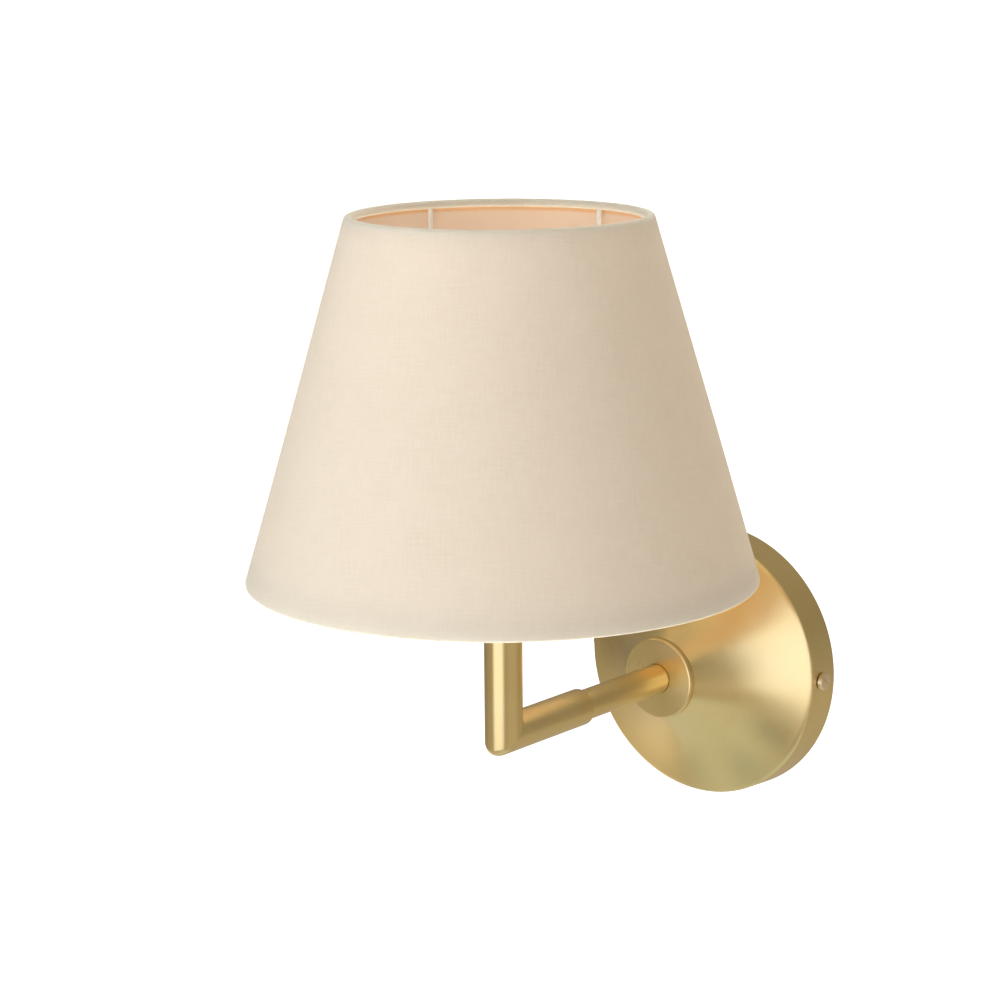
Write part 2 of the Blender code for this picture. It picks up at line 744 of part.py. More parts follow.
finish(wall_bracket(), steel, wall)
finish(side_screw("side_screw_right", 1), bright_brass, wall)
finish(side_screw("side_screw_left", -1), bright_brass, wall)
finish(earth_screw(), bright_brass, wall)
wall_tag = ring_tag("earth_tag_wall", 2.3, 3.7, 9.0, STRAP_T + GAP + 0.6)
wall_tag.location.x = EARTH_X * MM
wall_tag.data.transform(Matrix.Rotation(math.pi / 2, 4, "Z"))
finish(wall_tag, steel, wall)
finish(terminal_block(), white_plastic, wall)
finish(terminal_insert("terminal_live", -POLE_X), bright_brass, wall)
finish(terminal_insert("terminal_neutral", POLE_X), bright_brass, wall)
finish(core("core_live", -1), brown_core, wall)
finish(core("core_neutral", 1), blue_core, wall)
finish(earth_lead(), earth_core, wall)
finish(flex_arm(), flex, wall)

finish(wall_cover(), brass, wall)
finish(arm_flange(), brass, wall)
finish(face_out(ring("threaded_nipple", NIPPLE_BORE, NIPPLE_R, 30, 62)), bright_brass, wall)
finish(nipple_bush(), black_plastic, wall)
finish(face_out(ring("nipple_washer", NIPPLE_R + GAP, 10, 41, 42.5)), steel, wall)
finish(ring_tag("earth_tag_arm", NIPPLE_R + GAP, 8, 12.6, 40.3), steel, wall)
finish(nipple_nut(), bright_brass, wall)
finish(face_out(ring("arm_tube", ARM_R - TUBE_WALL, ARM_R, FLANGE_FRONT - 0.95, ARM_END, 24)), brass, wall)
finish(swivel_spigot(), bright_brass, wall)
finish(face_out(ring("swivel_washer", NECK_R + GAP, 6.2, 121.3, 122.3)), fibre, wall)
finish(swivel_nut(), bright_brass, wall)

finish(elbow_tube(), brass, swivel)
finish(swivel_collar(), bright_brass, swivel)
finish(flex_lamp(), flex, swivel)
finish(tube_end_bush(), bright_brass, swivel)
finish(stand_up(ring("holder_nipple", NIPPLE_BORE, NIPPLE_R, 82, 104)), bright_brass, swivel)
finish(holder_locknut(), bright_brass, swivel)
finish(holder_cap(), white_plastic, swivel)
finish(holder_body(), white_plastic, swivel)
finish(stand_up(ring("holder_shell", CAP_R + 0.4, 8.0, 124, 141)), bright_brass, swivel)
finish(holder_contact(), bright_brass, swivel)

finish(hoop("shade_top_ring", "top"), white_wire, shade_axis)
for number in range(STRUT_COUNT):
    finish(shade_strut(f"shade_strut_{number + 1}", number), white_wire, shade_axis)
finish(shade_fitter(), white_wire, shade_axis)
finish(hoop("shade_bottom_ring", "bottom"), white_wire, shade_axis)
finish(shade_cover(), cloth, shade_axis)
finish(shade_liner(), lining, shade_axis)

finish(shade_ring(), white_plastic, ring_axis)

finish(bulb_tip(), bright_brass, bulb_axis)
finish(bulb_cap(), bright_brass, bulb_axis)
finish(bulb_glass(), opal, bulb_axis)
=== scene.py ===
"""The looks of the swing arm wall sconce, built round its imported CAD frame.

Spun and turned brass, a cream cotton shade on a white wire frame, the lampholder and the bulb are fine
meshes that take their places and main sizes from the CAD nodes. The fixings behind the cover and inside
the tubes are the CAD nodes themselves, with eased edges and materials.
Lengths are metres; MM marks the ones that are written in millimetres.
"""

import json
import math

import bmesh
import bpy
from mathutils import Matrix, Vector


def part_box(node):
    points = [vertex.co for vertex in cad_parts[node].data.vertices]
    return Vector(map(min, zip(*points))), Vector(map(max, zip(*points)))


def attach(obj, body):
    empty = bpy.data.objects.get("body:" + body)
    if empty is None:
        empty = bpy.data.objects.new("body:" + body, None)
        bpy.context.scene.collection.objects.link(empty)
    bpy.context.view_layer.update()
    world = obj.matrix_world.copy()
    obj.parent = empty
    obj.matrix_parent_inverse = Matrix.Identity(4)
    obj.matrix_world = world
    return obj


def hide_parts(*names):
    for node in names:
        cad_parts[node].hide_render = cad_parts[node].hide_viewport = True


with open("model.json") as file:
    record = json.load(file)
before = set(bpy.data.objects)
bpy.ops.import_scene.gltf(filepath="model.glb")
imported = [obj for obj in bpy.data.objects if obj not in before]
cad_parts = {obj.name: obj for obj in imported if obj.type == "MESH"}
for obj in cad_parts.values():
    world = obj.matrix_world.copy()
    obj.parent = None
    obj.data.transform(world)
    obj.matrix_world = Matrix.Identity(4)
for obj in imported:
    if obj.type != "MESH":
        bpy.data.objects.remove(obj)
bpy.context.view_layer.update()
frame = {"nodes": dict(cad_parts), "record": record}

MM = 0.001
FULL_TURN = 2 * math.pi
SHARP_ANGLE = math.radians(38)        # edges sharper than this stay crisp in smooth shading
WALL_SIDE = Matrix.Rotation(math.pi / 2, 4, "X")     # turns a piece's local +Z to world -Y

# ---------------------------------------------------------------- sizes read from the frame


def low_of(node):
    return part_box(node)[0]


def high_of(node):
    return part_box(node)[1]


def middle_of(node):
    return (low_of(node) + high_of(node)) / 2


COVER_R = high_of("wall_cover").x
COVER_FRONT = -low_of("wall_cover").y
FLANGE_R = high_of("arm_flange").x
FLANGE_FRONT = -low_of("arm_flange").y
FLANGE_BACK = -high_of("arm_flange").y
ARM_R = high_of("arm_tube").x
ARM_BACK = -high_of("arm_tube").y
ARM_FRONT = -low_of("arm_tube").y
SLEEVE_R = high_of("elbow_tube").x
SLEEVE_BACK = -high_of("elbow_tube").y
UPRIGHT_TOP = high_of("elbow_tube").z
LAMP_Y = low_of("elbow_tube").y + SLEEVE_R
ON_LAMP = Matrix.Translation((0, LAMP_Y, 0))        # places a piece modelled along Z on the lamp
TUBE_WALL = 1.0 * MM
NIPPLE_R = high_of("threaded_nipple").x

RING_WIRE_R = (high_of("shade_top_ring").z - low_of("shade_top_ring").z) / 2 / math.sin(math.pi / 3)
TOP_RING = (high_of("shade_top_ring").x - RING_WIRE_R, middle_of("shade_top_ring").z)
BOTTOM_RING = (high_of("shade_bottom_ring").x - RING_WIRE_R, middle_of("shade_bottom_ring").z)
FOLD_R = high_of("shade_cover").z - TOP_RING[1]
CLOTH_T = 0.6 * MM
SLOPE = (BOTTOM_RING[0] - TOP_RING[0]) / (TOP_RING[1] - BOTTOM_RING[1])
TILT = math.atan(SLOPE)
LINER_LOW = low_of("shade_liner").z
FITTER_Z = middle_of("shade_fitter").z
FITTER_BORE = 13.7 * MM
STRUTS = (1, 2, 3, 4, 5)
STRUT_R = FITTER_Z - low_of("shade_strut_1").z

HOLDER_TOP = high_of("holder_body").z
HOLDER_BASE = low_of("holder_body").z
HOLDER_FLANGE_R = high_of("holder_body").x
CLAMP_R = high_of("shade_ring").x
BULB_R = 22.5 * MM
BULB_TOP = high_of("bulb_glass").z
CAP_R = high_of("bulb_cap").x
CAP_TOP = high_of("bulb_cap").z
CAP_BASE = low_of("bulb_cap").z


def cone_r(height, inset=0.0):
    """The shade's radius at a height, on the cloth's outer face or inset from it."""
    return TOP_RING[0] + (TOP_RING[1] - height) * SLOPE + (FOLD_R - inset) / math.cos(TILT)


# ---------------------------------------------------------------- mesh helpers

def arc(centre, radius, start, end, steps):
    """Points on a circle from one angle to another, in degrees, both ends included."""
    points = []
    for step in range(steps + 1):
        angle = math.radians(start + (end - start) * step / steps)
        points.append((centre[0] + radius * math.cos(angle), centre[1] + radius * math.sin(angle)))
    return points


def bowed(first, last, turn, steps):
    """Points on the arc from first to last that turns left by the given degrees."""
    start, end = Vector(first), Vector(last)
    chord = end - start
    radius = chord.length / (2 * math.sin(math.radians(turn) / 2))
    inward = Vector((-chord.y, chord.x)).normalized()
    centre = (start + end) / 2 + inward * radius * math.cos(math.radians(turn) / 2)
    begin = math.degrees(math.atan2(start.y - centre.y, start.x - centre.x))
    return arc(centre, radius, begin, begin + turn, steps)


def eased(profile, radius, steps=3, closed=True):
    """The profile with each corner rounded, as far as its neighbours leave room."""
    count = len(profile)
    done = []
    for i, corner in enumerate(profile):
        here = Vector(corner)
        before, after = Vector(profile[i - 1]), Vector(profile[(i + 1) % count])
        to_before, to_after = before - here, after - here
        on_axis = abs(here.x) < 1e-9
        at_end = not closed and i in (0, count - 1)
        if on_axis or at_end or to_before.length < 1e-9 or to_after.length < 1e-9:
            done.append(tuple(here))
            continue
        opening = to_before.angle(to_after)
        if opening > math.radians(155):
            done.append(tuple(here))
            continue
        cut = min(radius / math.tan(opening / 2), to_before.length * 0.45, to_after.length * 0.45)
        start = here + to_before.normalized() * cut
        end = here + to_after.normalized() * cut
        for step in range(steps + 1):
            t = step / steps
            done.append(tuple(start * (1 - t) ** 2 + here * 2 * t * (1 - t) + end * t ** 2))
    return done


def offset(profile, distance):
    """An open profile moved sideways, to its right, by a distance."""
    moved = []
    for i, point in enumerate(profile):
        before = Vector(profile[max(i - 1, 0)])
        after = Vector(profile[min(i + 1, len(profile) - 1)])
        along = (after - before).normalized()
        moved.append((point[0] + along.y * distance, point[1] - along.x * distance))
    return moved


def new_piece(name, mesh):
    piece = bpy.data.objects.new(name, mesh)
    bpy.context.scene.collection.objects.link(piece)
    return piece


def grid_mesh(name, rows, loop_rows, place=None, uv=None, grain=None):
    """A mesh skinned over rows of points, each row a closed ring or a single point.

    uv(row, column) and grain(row, column) give each corner's UV and each point's brushing place.
    """
    work = bmesh.new()
    layer = work.loops.layers.uv.new("UVMap")
    grain_layer = work.verts.layers.float_vector.new("grain")
    made = []
    for i, row in enumerate(rows):
        made.append([work.verts.new(point) for point in row])
        for j, vert in enumerate(made[-1]):
            vert[grain_layer] = grain(i, j) if grain else vert.co
    columns = max(len(row) for row in rows)
    last = len(rows) if loop_rows else len(rows) - 1
    for i in range(last):
        here, there = made[i], made[(i + 1) % len(rows)]
        for j in range(columns):
            k = (j + 1) % columns
            corners = [(here, i, j), (there, i + 1, j), (there, i + 1, k), (here, i, k)]
            sides = [j, j, j + 1, j + 1]
            face_verts, face_uvs = [], []
            for (row, number, column), side in zip(corners, sides):
                vert = row[column % len(row)]
                if vert in face_verts:
                    continue
                face_verts.append(vert)
                face_uvs.append(uv(number, side) if uv else (number, side))
            if len(face_verts) < 3:
                continue
            face = work.faces.new(face_verts)
            for corner, value in zip(face.loops, face_uvs):
                corner[layer].uv = value
    bmesh.ops.recalc_face_normals(work, faces=work.faces)
    mesh = bpy.data.meshes.new(name)
    work.to_mesh(mesh)
    work.free()
    if place is not None:
        mesh.transform(place)
    mesh.shade_smooth()
    mesh.set_sharp_from_angle(angle=SHARP_ANGLE)
    return mesh


BRUSH_SQUEEZE = 0.012      # how far the brushing pattern is drawn out round a turned piece


def turned(name, profile, steps=96, closed=True, place=None, shape=None):
    """A profile of (radius, height) turned about local Z.

    shape(angle, radius, height) may return a changed radius, for threads and ribs.
    """
    lengths = [0.0]
    for i in range(len(profile)):
        step = Vector(profile[(i + 1) % len(profile)]) - Vector(profile[i])
        lengths.append(lengths[-1] + step.length)
    widest = max(r for r, _ in profile)
    rows = []
    for r, z in profile:
        if r < 1e-9:
            rows.append([Vector((0, 0, z))])
            continue
        row = []
        for j in range(steps):
            angle = FULL_TURN * j / steps
            radius = shape(angle, r, z) if shape else r
            row.append(Vector((radius * math.cos(angle), radius * math.sin(angle), z)))
        rows.append(row)

    def uv(i, j):
        return lengths[i], j / steps * widest * 4

    def grain(i, j):
        angle = FULL_TURN * j / steps
        squeeze = widest * BRUSH_SQUEEZE
        return Vector((squeeze * math.cos(angle), squeeze * math.sin(angle), lengths[i]))
    mesh = grid_mesh(name, rows, closed, place, uv, grain)
    return new_piece(name, mesh)


def swept(name, points, radius, sides=16):
    """A round wire through points."""
    places = [Vector(p) for p in points]
    rows = []
    runs = []
    side = None
    run = 0.0
    for i, here in enumerate(places):
        before, after = places[max(i - 1, 0)], places[min(i + 1, len(places) - 1)]
        along = (after - before).normalized()
        if side is None:
            side = along.orthogonal().normalized()
        side = (side - along * side.dot(along)).normalized()
        other = along.cross(side)
        if i:
            run += (here - places[i - 1]).length
        row = []
        for j in range(sides):
            angle = FULL_TURN * j / sides
            row.append(here + side * math.cos(angle) * radius + other * math.sin(angle) * radius)
        rows.append(row)
        runs.append(run)
    rows = [[places[0]]] + rows + [[places[-1]]]
    runs = [0.0] + runs + [run]

    def uv(i, j):
        return runs[min(i, len(runs) - 1)], j / sides * radius * 4
    return new_piece(name, grid_mesh(name, rows, False, None, uv))


def dress(piece, material, body, slot, *nodes):
    """Give a piece its material and body, and hide the CAD nodes it stands for; slot is not used."""
    if material:
        piece.data.materials.clear()
        piece.data.materials.append(material)
    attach(piece, body)
    if nodes:
        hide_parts(*nodes)
    return piece


# ---------------------------------------------------------------- material helpers

def math_node(tree, operation, *values):
    """A Math node's result; each value is a number or a socket."""
    made = tree.nodes.new("ShaderNodeMath")
    made.operation = operation
    for socket, value in zip(made.inputs, values):
        if isinstance(value, (int, float)):
            socket.default_value = value
        else:
            tree.links.new(value, socket)
    return made.outputs["Value"]


def range_node(tree, value, low, high, new_low=0.0, new_high=1.0, smooth=False):
    """A value's range mapped to a new one, clamped."""
    made = tree.nodes.new("ShaderNodeMapRange")
    made.interpolation_type = "SMOOTHSTEP" if smooth else "LINEAR"
    for socket, number in zip(("From Min", "From Max", "To Min", "To Max"), (low, high, new_low, new_high)):
        made.inputs[socket].default_value = number
    tree.links.new(value, made.inputs["Value"])
    return made.outputs["Result"]


class Nodes:
    """A short way to build one material's node tree."""

    def __init__(self, name):
        self.material = bpy.data.materials.new(name)
        self.material.use_nodes = True
        self.tree = self.material.node_tree
        self.shader = self.tree.nodes["Principled BSDF"]
        self.output = self.tree.nodes["Material Output"]

    def set(self, **values):
        """Constants on the shader's own sockets, by name with _ for a space."""
        for key, value in values.items():
            socket = self.shader.inputs[key.replace("_", " ")]
            socket.default_value = (*value, 1.0) if isinstance(value, tuple) else value

    def link(self, start, end):
        self.tree.links.new(start, end)

    def node(self, kind, **settings):
        made = self.tree.nodes.new(kind)
        for key, value in settings.items():
            setattr(made, key, value)
        return made

    def coordinates(self, scale=(1, 1, 1), attribute=None, uv=False):
        """Object coordinates, a named attribute or UVs, scaled along each axis."""
        mapping = self.node("ShaderNodeMapping")
        mapping.inputs["Scale"].default_value = scale
        if attribute:
            source = self.node("ShaderNodeAttribute", attribute_name=attribute).outputs["Vector"]
        elif uv:
            source = self.node("ShaderNodeUVMap", uv_map="UVMap").outputs["UV"]
        else:
            source = self.node("ShaderNodeTexCoord").outputs["Object"]
        self.link(source, mapping.inputs["Vector"])
        return mapping.outputs["Vector"]

    def noise(self, vector, scale=1.0, detail=2.0, roughness=0.5):
        made = self.node("ShaderNodeTexNoise")
        made.inputs["Scale"].default_value = scale
        made.inputs["Detail"].default_value = detail
        made.inputs["Roughness"].default_value = roughness
        self.link(vector, made.inputs["Vector"])
        return made.outputs["Fac"]

    def math(self, operation, *values):
        return math_node(self.tree, operation, *values)

    def spread(self, *settings, smooth=False):
        return range_node(self.tree, *settings, smooth=smooth)

    def blend(self, factor, first, second, mode="MIX"):
        """Two colours, each a tuple or a socket, mixed by a factor."""
        made = self.node("ShaderNodeMix", data_type="RGBA", blend_type=mode)
        made.clamp_factor = True
        factor_in = made.inputs[0]
        first_in, second_in = made.inputs[6], made.inputs[7]
        if isinstance(factor, (int, float)):
            factor_in.default_value = factor
        else:
            self.link(factor, factor_in)
        for socket, value in ((first_in, first), (second_in, second)):
            if isinstance(value, tuple):
                socket.default_value = (*value, 1.0)
            else:
                self.link(value, socket)
        return made.outputs[2]

    def bump(self, height, strength, distance, under=None):
        made = self.node("ShaderNodeBump")
        made.inputs["Strength"].default_value = strength
        made.inputs["Distance"].default_value = distance
        self.link(height, made.inputs["Height"])
        if under is not None:
            self.link(under, made.inputs["Normal"])
        return made.outputs["Normal"]

    def colour(self, socket):
        self.link(socket, self.shader.inputs["Base Color"])

    def rough(self, socket):
        self.link(socket, self.shader.inputs["Roughness"])

    def normal(self, socket):
        self.link(socket, self.shader.inputs["Normal"])


def metal(name, light, dark, roughness, brushed=0.0, lines=4000.0, coat=0.0, wear=0.0):
    """A metal with cloudy tone, drawn-out brushing lines and small scratches."""
    build = Nodes(name)
    build.set(Metallic=1.0, Anisotropic=brushed, Coat_Weight=coat, Coat_Roughness=0.22)
    place = build.coordinates()
    cloud = build.noise(place, 28.0, 3.0, 0.55)
    grain_place = build.coordinates((lines, lines, lines), attribute="grain")
    line = build.noise(grain_place, 1.0, 3.0, 0.6)
    tone = build.math("ADD", build.math("MULTIPLY", cloud, 0.8), build.math("MULTIPLY", line, 0.2))
    build.colour(build.blend(build.spread(tone, 0.30, 0.70), dark, light))
    uneven = build.math("ADD", build.spread(cloud, 0.3, 0.7, -0.025, 0.025),
                        build.spread(line, 0.25, 0.75, -0.02, 0.02))
    rough = build.math("ADD", uneven, roughness)
    if wear:
        rub = build.noise(place, 160.0, 4.0, 0.7)
        rough = build.math("ADD", rough, build.spread(rub, 0.55, 0.8, 0.0, wear))
    build.rough(rough)
    build.normal(build.bump(line, 0.05, 0.004 * MM))
    if brushed:
        tangent = build.node("ShaderNodeTangent", direction_type="UV_MAP", uv_map="UVMap")
        build.link(tangent.outputs["Tangent"], build.shader.inputs["Tangent"])
    return build.material


def moulded(name, light, dark, roughness, coat=0.0):
    """A moulded plastic, with a faint orange-peel skin."""
    build = Nodes(name)
    build.set(Coat_Weight=coat, Coat_Roughness=0.15)
    place = build.coordinates()
    cloud = build.noise(place, 60.0, 2.0)
    build.colour(build.blend(build.spread(cloud, 0.3, 0.7), dark, light))
    peel = build.noise(place, 1400.0, 2.0)
    build.rough(build.spread(peel, 0.3, 0.7, roughness - 0.06, roughness + 0.06))
    build.normal(build.bump(peel, 0.2, 0.02 * MM))
    return build.material


def add_translucence(build, colour, share):
    """Mix in light that comes through from behind, for cloth, lining and opal glass."""
    through = build.node("ShaderNodeBsdfTranslucent")
    build.link(colour, through.inputs["Color"])
    mix = build.node("ShaderNodeMixShader")
    mix.inputs["Fac"].default_value = share
    build.link(build.shader.outputs["BSDF"], mix.inputs[1])
    build.link(through.outputs["BSDF"], mix.inputs[2])
    build.link(mix.outputs["Shader"], build.output.inputs["Surface"])


THREAD_PITCH = 0.50 * MM
YARN_ALONG = 110           # the yarns' unevenness, in waves per metre
YARN_ACROSS = 1300
COTTON_LIGHT = (0.85, 0.81, 0.725)
COTTON_DEEP = (0.82, 0.775, 0.68)
COTTON_PALE = (0.87, 0.835, 0.755)
# Painted shade: the darker colour laid into the weave's gaps between the yarns.
COTTON_GAP_SHADE = (0.70, 0.64, 0.54)
COTTON_SLUB = (0.92, 0.89, 0.83)
COTTON_FLECK = (0.55, 0.42, 0.28)
LINING_LIGHT = (0.955, 0.83, 0.73)
LINING_DEEP = (0.94, 0.80, 0.69)
GLUE_AMBER = (0.93, 0.67, 0.42)
GLUE_HIGH = TOP_RING[1] + FOLD_R - 4.8 * MM
GLUE_LOW = LINER_LOW + 3.2 * MM


def woven_cotton(name, share):
    """Cream cotton in a plain weave, with uneven threads, a few slubs and flecks, and painted shade in the
    gaps between the yarns.
    """
    build = Nodes(name)
    build.set(Sheen_Weight=0.15, Sheen_Roughness=0.5, Roughness=0.92)
    flat = build.coordinates(uv=True)
    parts = build.node("ShaderNodeSeparateXYZ")
    build.link(flat, parts.inputs["Vector"])
    wander = build.spread(build.noise(flat, 220.0), 0.0, 1.0, -0.15 * MM, 0.15 * MM)
    across = build.math("MULTIPLY", build.math("ADD", parts.outputs["X"], wander), 1 / THREAD_PITCH)
    along = build.math("MULTIPLY", build.math("ADD", parts.outputs["Y"], wander), 1 / THREAD_PITCH)
    warp = build.math("ABSOLUTE", build.math("SINE", build.math("MULTIPLY", across, math.pi)))
    weft = build.math("ABSOLUTE", build.math("SINE", build.math("MULTIPLY", along, math.pi)))
    crossing = build.math("ADD", build.math("FLOOR", across), build.math("FLOOR", along))
    over = build.math("ABSOLUTE", build.math("MODULO", crossing, 2.0))
    weave = build.math("ADD", build.math("MULTIPLY", warp, over),
                       build.math("MULTIPLY", weft, build.math("SUBTRACT", 1.0, over)))
    weft_yarn = build.noise(build.coordinates((YARN_ALONG, YARN_ACROSS, 1), uv=True), 1.0, 3.0, 0.6)
    warp_yarn = build.noise(build.coordinates((YARN_ACROSS, YARN_ALONG, 1), uv=True), 1.0, 3.0, 0.6)
    slub = build.math("MAXIMUM", build.spread(weft_yarn, 0.66, 0.78),
                      build.spread(warp_yarn, 0.66, 0.78))
    yarns = build.math("MULTIPLY", build.math("ADD", weft_yarn, warp_yarn), 0.5)
    cloud = build.noise(flat, 60.0, 4.0, 0.65)
    base = build.blend(build.spread(cloud, 0.3, 0.7), COTTON_DEEP, COTTON_LIGHT)
    uneven = build.blend(build.spread(yarns, 0.38, 0.62), base, COTTON_PALE)
    # Painted shade in the gaps between the yarns, where the weave dips.
    gap_shade = build.blend(build.spread(weave, 0.0, 0.7, 0.22, 0.0), uneven, COTTON_GAP_SHADE)
    thick = build.blend(build.math("MULTIPLY", slub, 0.35), gap_shade, COTTON_SLUB)
    fleck = build.noise(flat, 520.0, 1.0, 0.4)
    colour = build.blend(build.spread(fleck, 0.80, 0.86, 0.0, 0.35), thick, COTTON_FLECK)
    build.colour(colour)
    height = build.math("ADD", build.math("MULTIPLY", weave, 0.5), slub)
    build.normal(build.bump(height, 0.35, 0.08 * MM))
    add_translucence(build, colour, share)
    return build.material


def stiff_lining(name, share):
    """The peach inside of the shade, with an amber line of glue beside each hem."""
    build = Nodes(name)
    place = build.coordinates()
    parts = build.node("ShaderNodeSeparateXYZ")
    build.link(place, parts.inputs["Vector"])
    cloud = build.noise(place, 35.0, 3.0)
    ragged = build.math("MULTIPLY", build.math("SUBTRACT", build.noise(place, 420.0, 3.0), 0.5), 1.0 * MM)
    height = build.math("ADD", parts.outputs["Z"], ragged)
    base = build.blend(build.spread(cloud, 0.3, 0.7), LINING_DEEP, LINING_LIGHT)
    near_top = build.spread(height, GLUE_HIGH - 0.6 * MM, GLUE_HIGH + 0.6 * MM, smooth=True)
    near_bottom = build.spread(height, GLUE_LOW + 0.5 * MM, GLUE_LOW - 0.4 * MM, smooth=True)
    glue = build.math("MAXIMUM", near_top, near_bottom)
    colour = build.blend(glue, base, GLUE_AMBER)
    build.colour(colour)
    build.rough(build.spread(glue, 0.0, 1.0, 0.55, 0.3))
    fine = build.noise(place, 1800.0, 2.0)
    build.normal(build.bump(fine, 0.15, 0.03 * MM))
    add_translucence(build, colour, share)
    return build.material


def opal_glass():
    build = Nodes("opal_glass")
    build.set(Coat_Weight=0.8, Coat_Roughness=0.04)
    place = build.coordinates()
    cloud = build.noise(place, 40.0, 2.0)
    colour = build.blend(build.spread(cloud, 0.3, 0.7), (0.88, 0.87, 0.84), (0.92, 0.91, 0.89))
    build.colour(colour)
    build.rough(build.spread(cloud, 0.3, 0.7, 0.18, 0.24))
    add_translucence(build, colour, 0.4)
    return build.material


satin_brass = metal("satin_brass", (0.92, 0.74, 0.36), (0.84, 0.64, 0.27), 0.30, 0.5, coat=0.25)
tube_brass = metal("tube_brass", (0.92, 0.74, 0.36), (0.84, 0.64, 0.27), 0.30, 0.35, coat=0.25)
turned_brass = metal("turned_brass", (1.0, 0.85, 0.60), (0.92, 0.74, 0.46), 0.34, 0.2)
zinc_steel = metal("zinc_steel", (0.72, 0.73, 0.74), (0.52, 0.53, 0.55), 0.38, wear=0.15)
fitting_brass = metal("fitting_brass", (0.92, 0.76, 0.44), (0.82, 0.64, 0.33), 0.30, wear=0.1)
bulb_metal = metal("bulb_metal", (0.82, 0.80, 0.76), (0.66, 0.64, 0.60), 0.24)
bulb_solder = metal("bulb_solder", (0.70, 0.70, 0.70), (0.50, 0.50, 0.50), 0.42, wear=0.2)
white_plastic = moulded("white_plastic", (0.86, 0.85, 0.81), (0.80, 0.79, 0.75), 0.38)
black_plastic = moulded("black_plastic", (0.03, 0.03, 0.03), (0.02, 0.02, 0.02), 0.42)
coated_wire = moulded("coated_wire", (0.88, 0.86, 0.82), (0.80, 0.78, 0.73), 0.40, coat=0.3)
red_fibre = moulded("red_fibre", (0.42, 0.09, 0.05), (0.32, 0.07, 0.04), 0.75)
flex_gold = moulded("flex_gold", (0.66, 0.52, 0.30), (0.56, 0.43, 0.24), 0.35, coat=0.4)
brown_core = moulded("brown_core", (0.20, 0.09, 0.04), (0.15, 0.06, 0.03), 0.45)
blue_core = moulded("blue_core", (0.05, 0.17, 0.50), (0.03, 0.12, 0.42), 0.45)
earth_core = moulded("earth_core", (0.36, 0.56, 0.08), (0.28, 0.46, 0.06), 0.45)
cotton = woven_cotton("cream_cotton", 0.30)
cotton_back = woven_cotton("cream_cotton_back", 0.90)
lining = stiff_lining("peach_lining", 0.50)
lining_back = stiff_lining("peach_lining_back", 0.92)
opal = opal_glass()

# ---------------------------------------------------------------- wall cover and flange

COVER_WALL = 1.2 * MM
BAND_DEPTH = 16.1 * MM
BAND_FRONT_R = COVER_R - 0.7 * MM
DOME_EDGE_R = COVER_R - 1.8 * MM
DOME_TOP_R = 16.0 * MM
DOME_TURN = 33.0


def spun_cover():
    """A flat centre, a concave dome, a rounded front edge and a band to the wall, all one sheet."""
    dome = bowed((DOME_TOP_R, COVER_FRONT), (DOME_EDGE_R, BAND_DEPTH), DOME_TURN, 40)
    edge = [(BAND_FRONT_R - 0.05 * MM, BAND_DEPTH - 0.75 * MM)]
    outside = [(NIPPLE_R + 0.4 * MM, COVER_FRONT)] + dome
    corner = eased([dome[-2], dome[-1], edge[0], (COVER_R, 0)], 0.9 * MM, 6, closed=False)[1:-1]
    outside = outside[:-1] + corner
    band = [tuple(Vector(corner[-1]).lerp(Vector((COVER_R, 0)), t / 6)) for t in range(1, 7)]
    outside += band
    inside = offset(outside, COVER_WALL)
    inside[0] = (outside[0][0], COVER_FRONT - COVER_WALL)
    inside[-1] = (COVER_R - COVER_WALL, 0)
    rim = arc((COVER_R - COVER_WALL / 2, 0.3 * MM), COVER_WALL / 2, 0, -180, 6)
    rim = [(r, max(z, 0.0)) for r, z in rim]
    profile = outside[:-1] + rim[0:1] + [(COVER_R - 0.25 * MM, 0.0), (COVER_R - 0.95 * MM, 0.0)]
    profile += rim[-1:] + list(reversed(inside[:-1]))
    return turned("spun_cover", profile, 192, place=WALL_SIDE)


def flange():
    """The turned disc that the arm stands in."""
    bore = NIPPLE_R + 0.3 * MM
    recess = ARM_R + 0.08 * MM
    edge = 1.0 * MM
    profile = [(recess + 0.12 * MM, FLANGE_FRONT)]
    profile += arc((FLANGE_R - edge, FLANGE_FRONT - edge), edge, 90, 0, 10)
    profile += [(FLANGE_R, FLANGE_BACK + 0.5 * MM), (FLANGE_R - 0.5 * MM, FLANGE_BACK),
                (bore, FLANGE_BACK), (bore, FLANGE_FRONT - 1.2 * MM), (recess, FLANGE_FRONT - 1.2 * MM),
                (recess, FLANGE_FRONT - 0.12 * MM)]
    return turned("flange_disc", profile, 128, place=WALL_SIDE)


dress(spun_cover(), satin_brass, "wall_mount", "satin_brass", "wall_cover")
dress(flange(), satin_brass, "wall_mount", "satin_brass", "arm_flange")

# ---------------------------------------------------------------- cover screws

SCREW_TURN = math.radians(50)        # how far the screws' slots stand off level
HEAD_DEPTH = 1.9 * MM
SHANK_R = 1.8 * MM
SLOT_HALF = 0.42 * MM
SLOT_DEPTH = 0.9 * MM


def block(name, low, high):
    """A plain cutter between two corners."""
    low, high = Vector(low), Vector(high)
    work = bmesh.new()
    bmesh.ops.create_cube(work, size=1.0)
    place = Matrix.Translation((low + high) / 2) @ Matrix.Diagonal((*(high - low), 1))
    bmesh.ops.transform(work, matrix=place, verts=work.verts)
    mesh = bpy.data.meshes.new(name)
    work.to_mesh(mesh)
    work.free()
    return new_piece(name, mesh)


def carve(piece, *tools):
    """Cut the tools out of a piece's mesh."""
    for tool in tools:
        change = piece.modifiers.new(tool.name, "BOOLEAN")
        change.operation = "DIFFERENCE"
        change.object = tool
    bpy.context.view_layer.update()
    evaluated = piece.evaluated_get(bpy.context.evaluated_depsgraph_get())
    mesh = bpy.data.meshes.new_from_object(evaluated)
    piece.modifiers.clear()
    piece.data = mesh
    for tool in tools:
        bpy.data.objects.remove(tool, do_unlink=True)
    piece.data.set_sharp_from_angle(angle=SHARP_ANGLE)
    return piece


